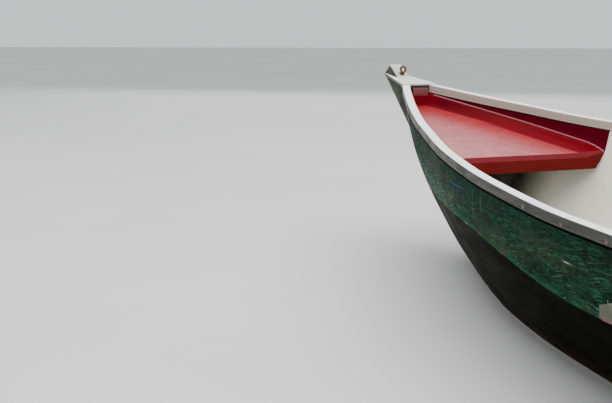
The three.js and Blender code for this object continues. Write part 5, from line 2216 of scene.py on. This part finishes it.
@dataclass
class Motor:
    """Motor on the transom: clamp, swivel, leg, head, tiller and pod."""

    steer_x: float = x_at(5.928)
    base: float = 0.678
    tray: float = 0.018
    front: float = 0.150
    rear: float = 0.175
    half: float = 0.095
    front_corner: float = 0.026
    rear_corner: float = 0.062
    tiller_rise: float = 0.092
    tiller_root: float = 0.024
    tiller_long: float = 0.205
    pod_z: float = -0.285
    pod_ahead: float = 0.130
    pod_radius: float = 0.05
    pod_nose: float = 0.06
    pod_long: float = 0.3
    blades: int = 3
    draws: tuple[Pair, ...] = (
        (0.0, 0.002), (0.002, 0.0), (0.036, 0.0022), (0.0375, 0.0042), (0.0395, 0.0042), (0.041, 0.0025),
        (0.09, 0.007), (0.14, 0.0125), (0.152, 0.0155), (0.162, 0.0195), (0.170, 0.025), (0.175, 0.033),
        (0.1775, 0.045), (0.178, 0.062),
    )
    blade_rows: tuple[tuple[float, float, float, float], ...] = (
        (0.024, 0.034, 58, 0.0036), (0.04, 0.048, 50, 0.0032), (0.055, 0.061, 42, 0.0028),
        (0.072, 0.068, 37, 0.0025), (0.09, 0.069, 32, 0.0021), (0.106, 0.06, 28, 0.0017),
        (0.118, 0.044, 26, 0.0013), (0.126, 0.022, 24, 0.0008),
    )

    def plan(self) -> list[Pair]:
        """Plan of the head about the steering axis, straight in front and rounded behind."""
        f, r = self.front_corner, self.rear_corner
        front = [(self.front - f + f * math.sin(t), self.half - f + f * math.cos(t)) for t in quarter(6)]
        rear = [(-self.rear + r - r * math.cos(t), self.half - r + r * math.sin(t)) for t in quarter(8)]
        port = [*rear, (0.0, self.half), *front]
        return [*port, *((x, -y) for x, y in reversed(port))]

    def cap(self) -> Piece:
        """Bare cap: upright in front, sloping behind, with soft top edges and a parting line."""
        base = self.base + self.tray + SEAT_GAP
        rings = []
        for rise, draw in self.draws:
            ring = []
            for x, y in self.plan():
                reach = self.front if x > 0 else self.rear
                pull = draw * (0.35 if x > 0 else 1.6) if rise < 0.15 else draw * (0.8 if x > 0 else 1.5)
                ring.append((self.steer_x + x * (1 - pull / reach), y * (1 - draw / self.half), base + rise))
            rings.append(ring)
        return skin("motor_cowl", rings)

    def grip(self) -> Piece:
        """Ribbed twist grip."""
        start = self.steer_x + self.front + self.tiller_root + self.tiller_long + SEAT_GAP
        profile = [(0, 0), (0.0145, 0), (0.0175, 0.003), (0.0175, 0.010), (0.0155, 0.012)]
        for i in range(11):
            d = 0.016 + 0.0086 * i
            profile += [(0.0155, d), (0.0172, d + 0.0018), (0.0172, d + 0.0048), (0.0155, d + 0.0064)]
        profile += [(0.0155, 0.112), (0.0182, 0.115), (0.0182, 0.122), (0.0155, 0.1275), (0, 0.128)]
        return lathe("throttle_grip", profile, (start, 0, self.base + self.tiller_rise), (1, 0, 0), 32)

    def pod(self) -> Piece:
        """Pod with a rounded nose and a shaft behind."""
        x = self.steer_x + self.pod_ahead
        nose = [(self.pod_radius * math.sin(t), self.pod_nose * (1 - math.cos(t))) for t in quarter(10)]
        tail = [
            (self.pod_radius, 0.268), (0.0485, 0.282), (0.045, 0.291), (0.04, 0.297), (0.034, 0.2995),
            (0.009, self.pod_long), (0.009, 0.336), (0, 0.3362),
        ]
        body = lathe("pod_body", [*nose, *tail], (x, 0, self.pod_z), (-1, 0, 0), 48)
        saddle = [(0, 0), (0.03, 0), (0.03, 0.012), (0.027, 0.03), (0.0262, 0.0325), (0, 0.0326)]
        boss = lathe("pod_boss", saddle, (self.steer_x, 0, self.pod_z + 0.02), (0, 0, 1), 32)
        return joined("pod_shell", [body, boss])

    def blade(self, turn: float, x: float) -> Piece:
        """One twisted blade with thin edges.

        Args:
            turn: Angle of the blade about the shaft.
            x: Place of its middle along the boat.

        Returns:
            The blade.
        """
        rings = []
        spin = Matrix.Rotation(turn, 3, "X")
        for radius, chord, pitch, thick in self.blade_rows:
            sine, cosine = math.sin(math.radians(pitch)), math.cos(math.radians(pitch))
            ring = []
            for s in (2 * math.pi * k / 14 for k in range(14)):
                u, v = 0.5 * chord * math.cos(s), thick * math.sin(s)
                ring.append(spin @ Vector((u * sine + v * cosine, u * cosine - v * sine, radius)))
            rings.append([point + Vector((x, 0, self.pod_z)) for point in ring])
        return skin("blade", rings)

    def propeller(self) -> Piece:
        """Hub with its blades."""
        x = self.steer_x + self.pod_ahead - self.pod_long - 0.006
        profile = [
            (0, 0), (0.03, 0), (0.032, 0.002), (0.032, 0.032), (0.028, 0.043), (0.018, 0.052),
            (0.008, 0.0555), (0, 0.056),
        ]
        hub = lathe("hub", profile, (x, 0, self.pod_z), (-1, 0, 0), 36)
        blades = [self.blade(2 * math.pi * i / self.blades, x - 0.02) for i in range(self.blades)]
        return joined("propeller_screw", [hub, *blades])

    def build(self) -> None:
        """Builds the motor."""
        softened("clamp_bracket", "clamp_frame", 0.003, BLACK, Body.HULL)
        for side in Side:
            softened(f"clamp_screw_{side.word}", f"clamp_handle_{side.word}", 0.0008, STEEL, Body.HULL, 2)
        softened("swivel_bracket", "swivel_casting", 0.003, LEAF, Body.TILT)
        softened("motor_leg", "leg_tube", 0.0015, LEG, Body.STEER, 2)
        softened("head_tray", "head_pan", 0.004, PLASTIC, Body.STEER)
        softened("tiller_bracket", "tiller_yoke", 0.002, BLACK, Body.STEER)
        softened("pod_fin", "fin_blade", 0.002, BLACK, Body.STEER, 2)
        softened("tiller_arm", "tiller_bar", 0.0015, BLACK, Body.TILLER, 2)
        dress(self.cap(), CAP_GEL, Body.STEER, "motor_cap")
        dress(self.pod(), BLACK, Body.STEER, "motor_pod")
        dress(self.grip(), RUBBER, Body.TILLER, "tiller_grip")
        dress(self.propeller(), PLASTIC, Body.PROPELLER, "propeller")


@dataclass
class Studio:
    """Floor at the waterline, soft light and the camera of the photograph."""

    focal: float = 58.67
    eye: Point = (-1.60456, 2.33877, 0.978)
    right: Point = (-0.3912338, -0.92022164, 0.01132435)
    up: Point = (0.16422263, -0.05770128, 0.98473422)
    forward: Point = (0.90552031, -0.38712103, -0.17369591)
    sensor: float = 36.0
    floor_half: float = 40.0
    sky: Color = (0.86, 0.89, 0.9)
    panels: tuple[tuple[str, Point, Point, float, float], ...] = (
        ("sky_panel", (0.0, 0.0, 6.0), (0.0, 0.0, 0.0), 9.0, 720.0),
        ("bow_panel", (9.5, -3.6, 5.4), (1.6, 0.0, 0.5), 10.0, 400.0),
    )

    def camera(self) -> None:
        """Adds the camera."""
        data = bpy.data.cameras.new("photo_camera")
        data.sensor_width = self.sensor
        data.lens = self.focal
        data.clip_start = 0.05
        camera = linked("photo_camera", data)
        back = [-value for value in self.forward]
        turn = Matrix((self.right, self.up, back)).transposed().to_4x4()
        camera.matrix_world = Matrix.Translation(self.eye) @ turn
        bpy.context.scene.camera = camera

    def floor(self) -> None:
        """Adds the plain pale floor."""
        corners = boxed(self.floor_half, -self.floor_half, self.floor_half)
        floor = mesh_piece("studio_floor", [(x, y, WATER_RISE) for x, y in corners], [(0, 1, 2, 3)])
        g = Graph("floor_paint")
        soft = g.mix(g.noise(0.6).ramp(0.3, 0.7), (0.62, 0.62, 0.61), (0.66, 0.66, 0.65))
        floor.data.materials.append(g.close({"Roughness": 0.9}, {"Base Color": soft}))

    def light(self) -> None:
        """Adds the soft panels and the sky."""
        for name, place, target, size, power in self.panels:
            data = bpy.data.lights.new(name, "AREA")
            data.shape = "SQUARE"
            data.size = size
            data.energy = power
            lamp = linked(name, data)
            aim = Vector(target) - Vector(place)
            lamp.matrix_world = Matrix.Translation(place) @ aim.to_track_quat("-Z", "Y").to_matrix().to_4x4()
        world = bpy.data.worlds.new("studio_sky")
        world.use_nodes = True
        background = world.node_tree.nodes["Background"]
        background.inputs["Color"].default_value = (*self.sky, 1.0)
        background.inputs["Strength"].default_value = 1.0
        bpy.context.scene.world = world

    def build(self) -> None:
        """Sets the studio up."""
        self.camera()
        self.floor()
        self.light()


def main() -> None:
    """Builds the studio and the sub-assemblies in order."""
    logging.basicConfig(level=logging.INFO, format="%(name)s %(message)s")
    bow = (Skins(), Gunwales(), BowFittings(), BowMoulding())
    for part in (Studio(), *bow, Cockpit(), Underwater(), Stern(), Motor()):
        LOG.info("building %s", type(part).__name__)
        part.build()


if __name__ == "__main__":
    main()
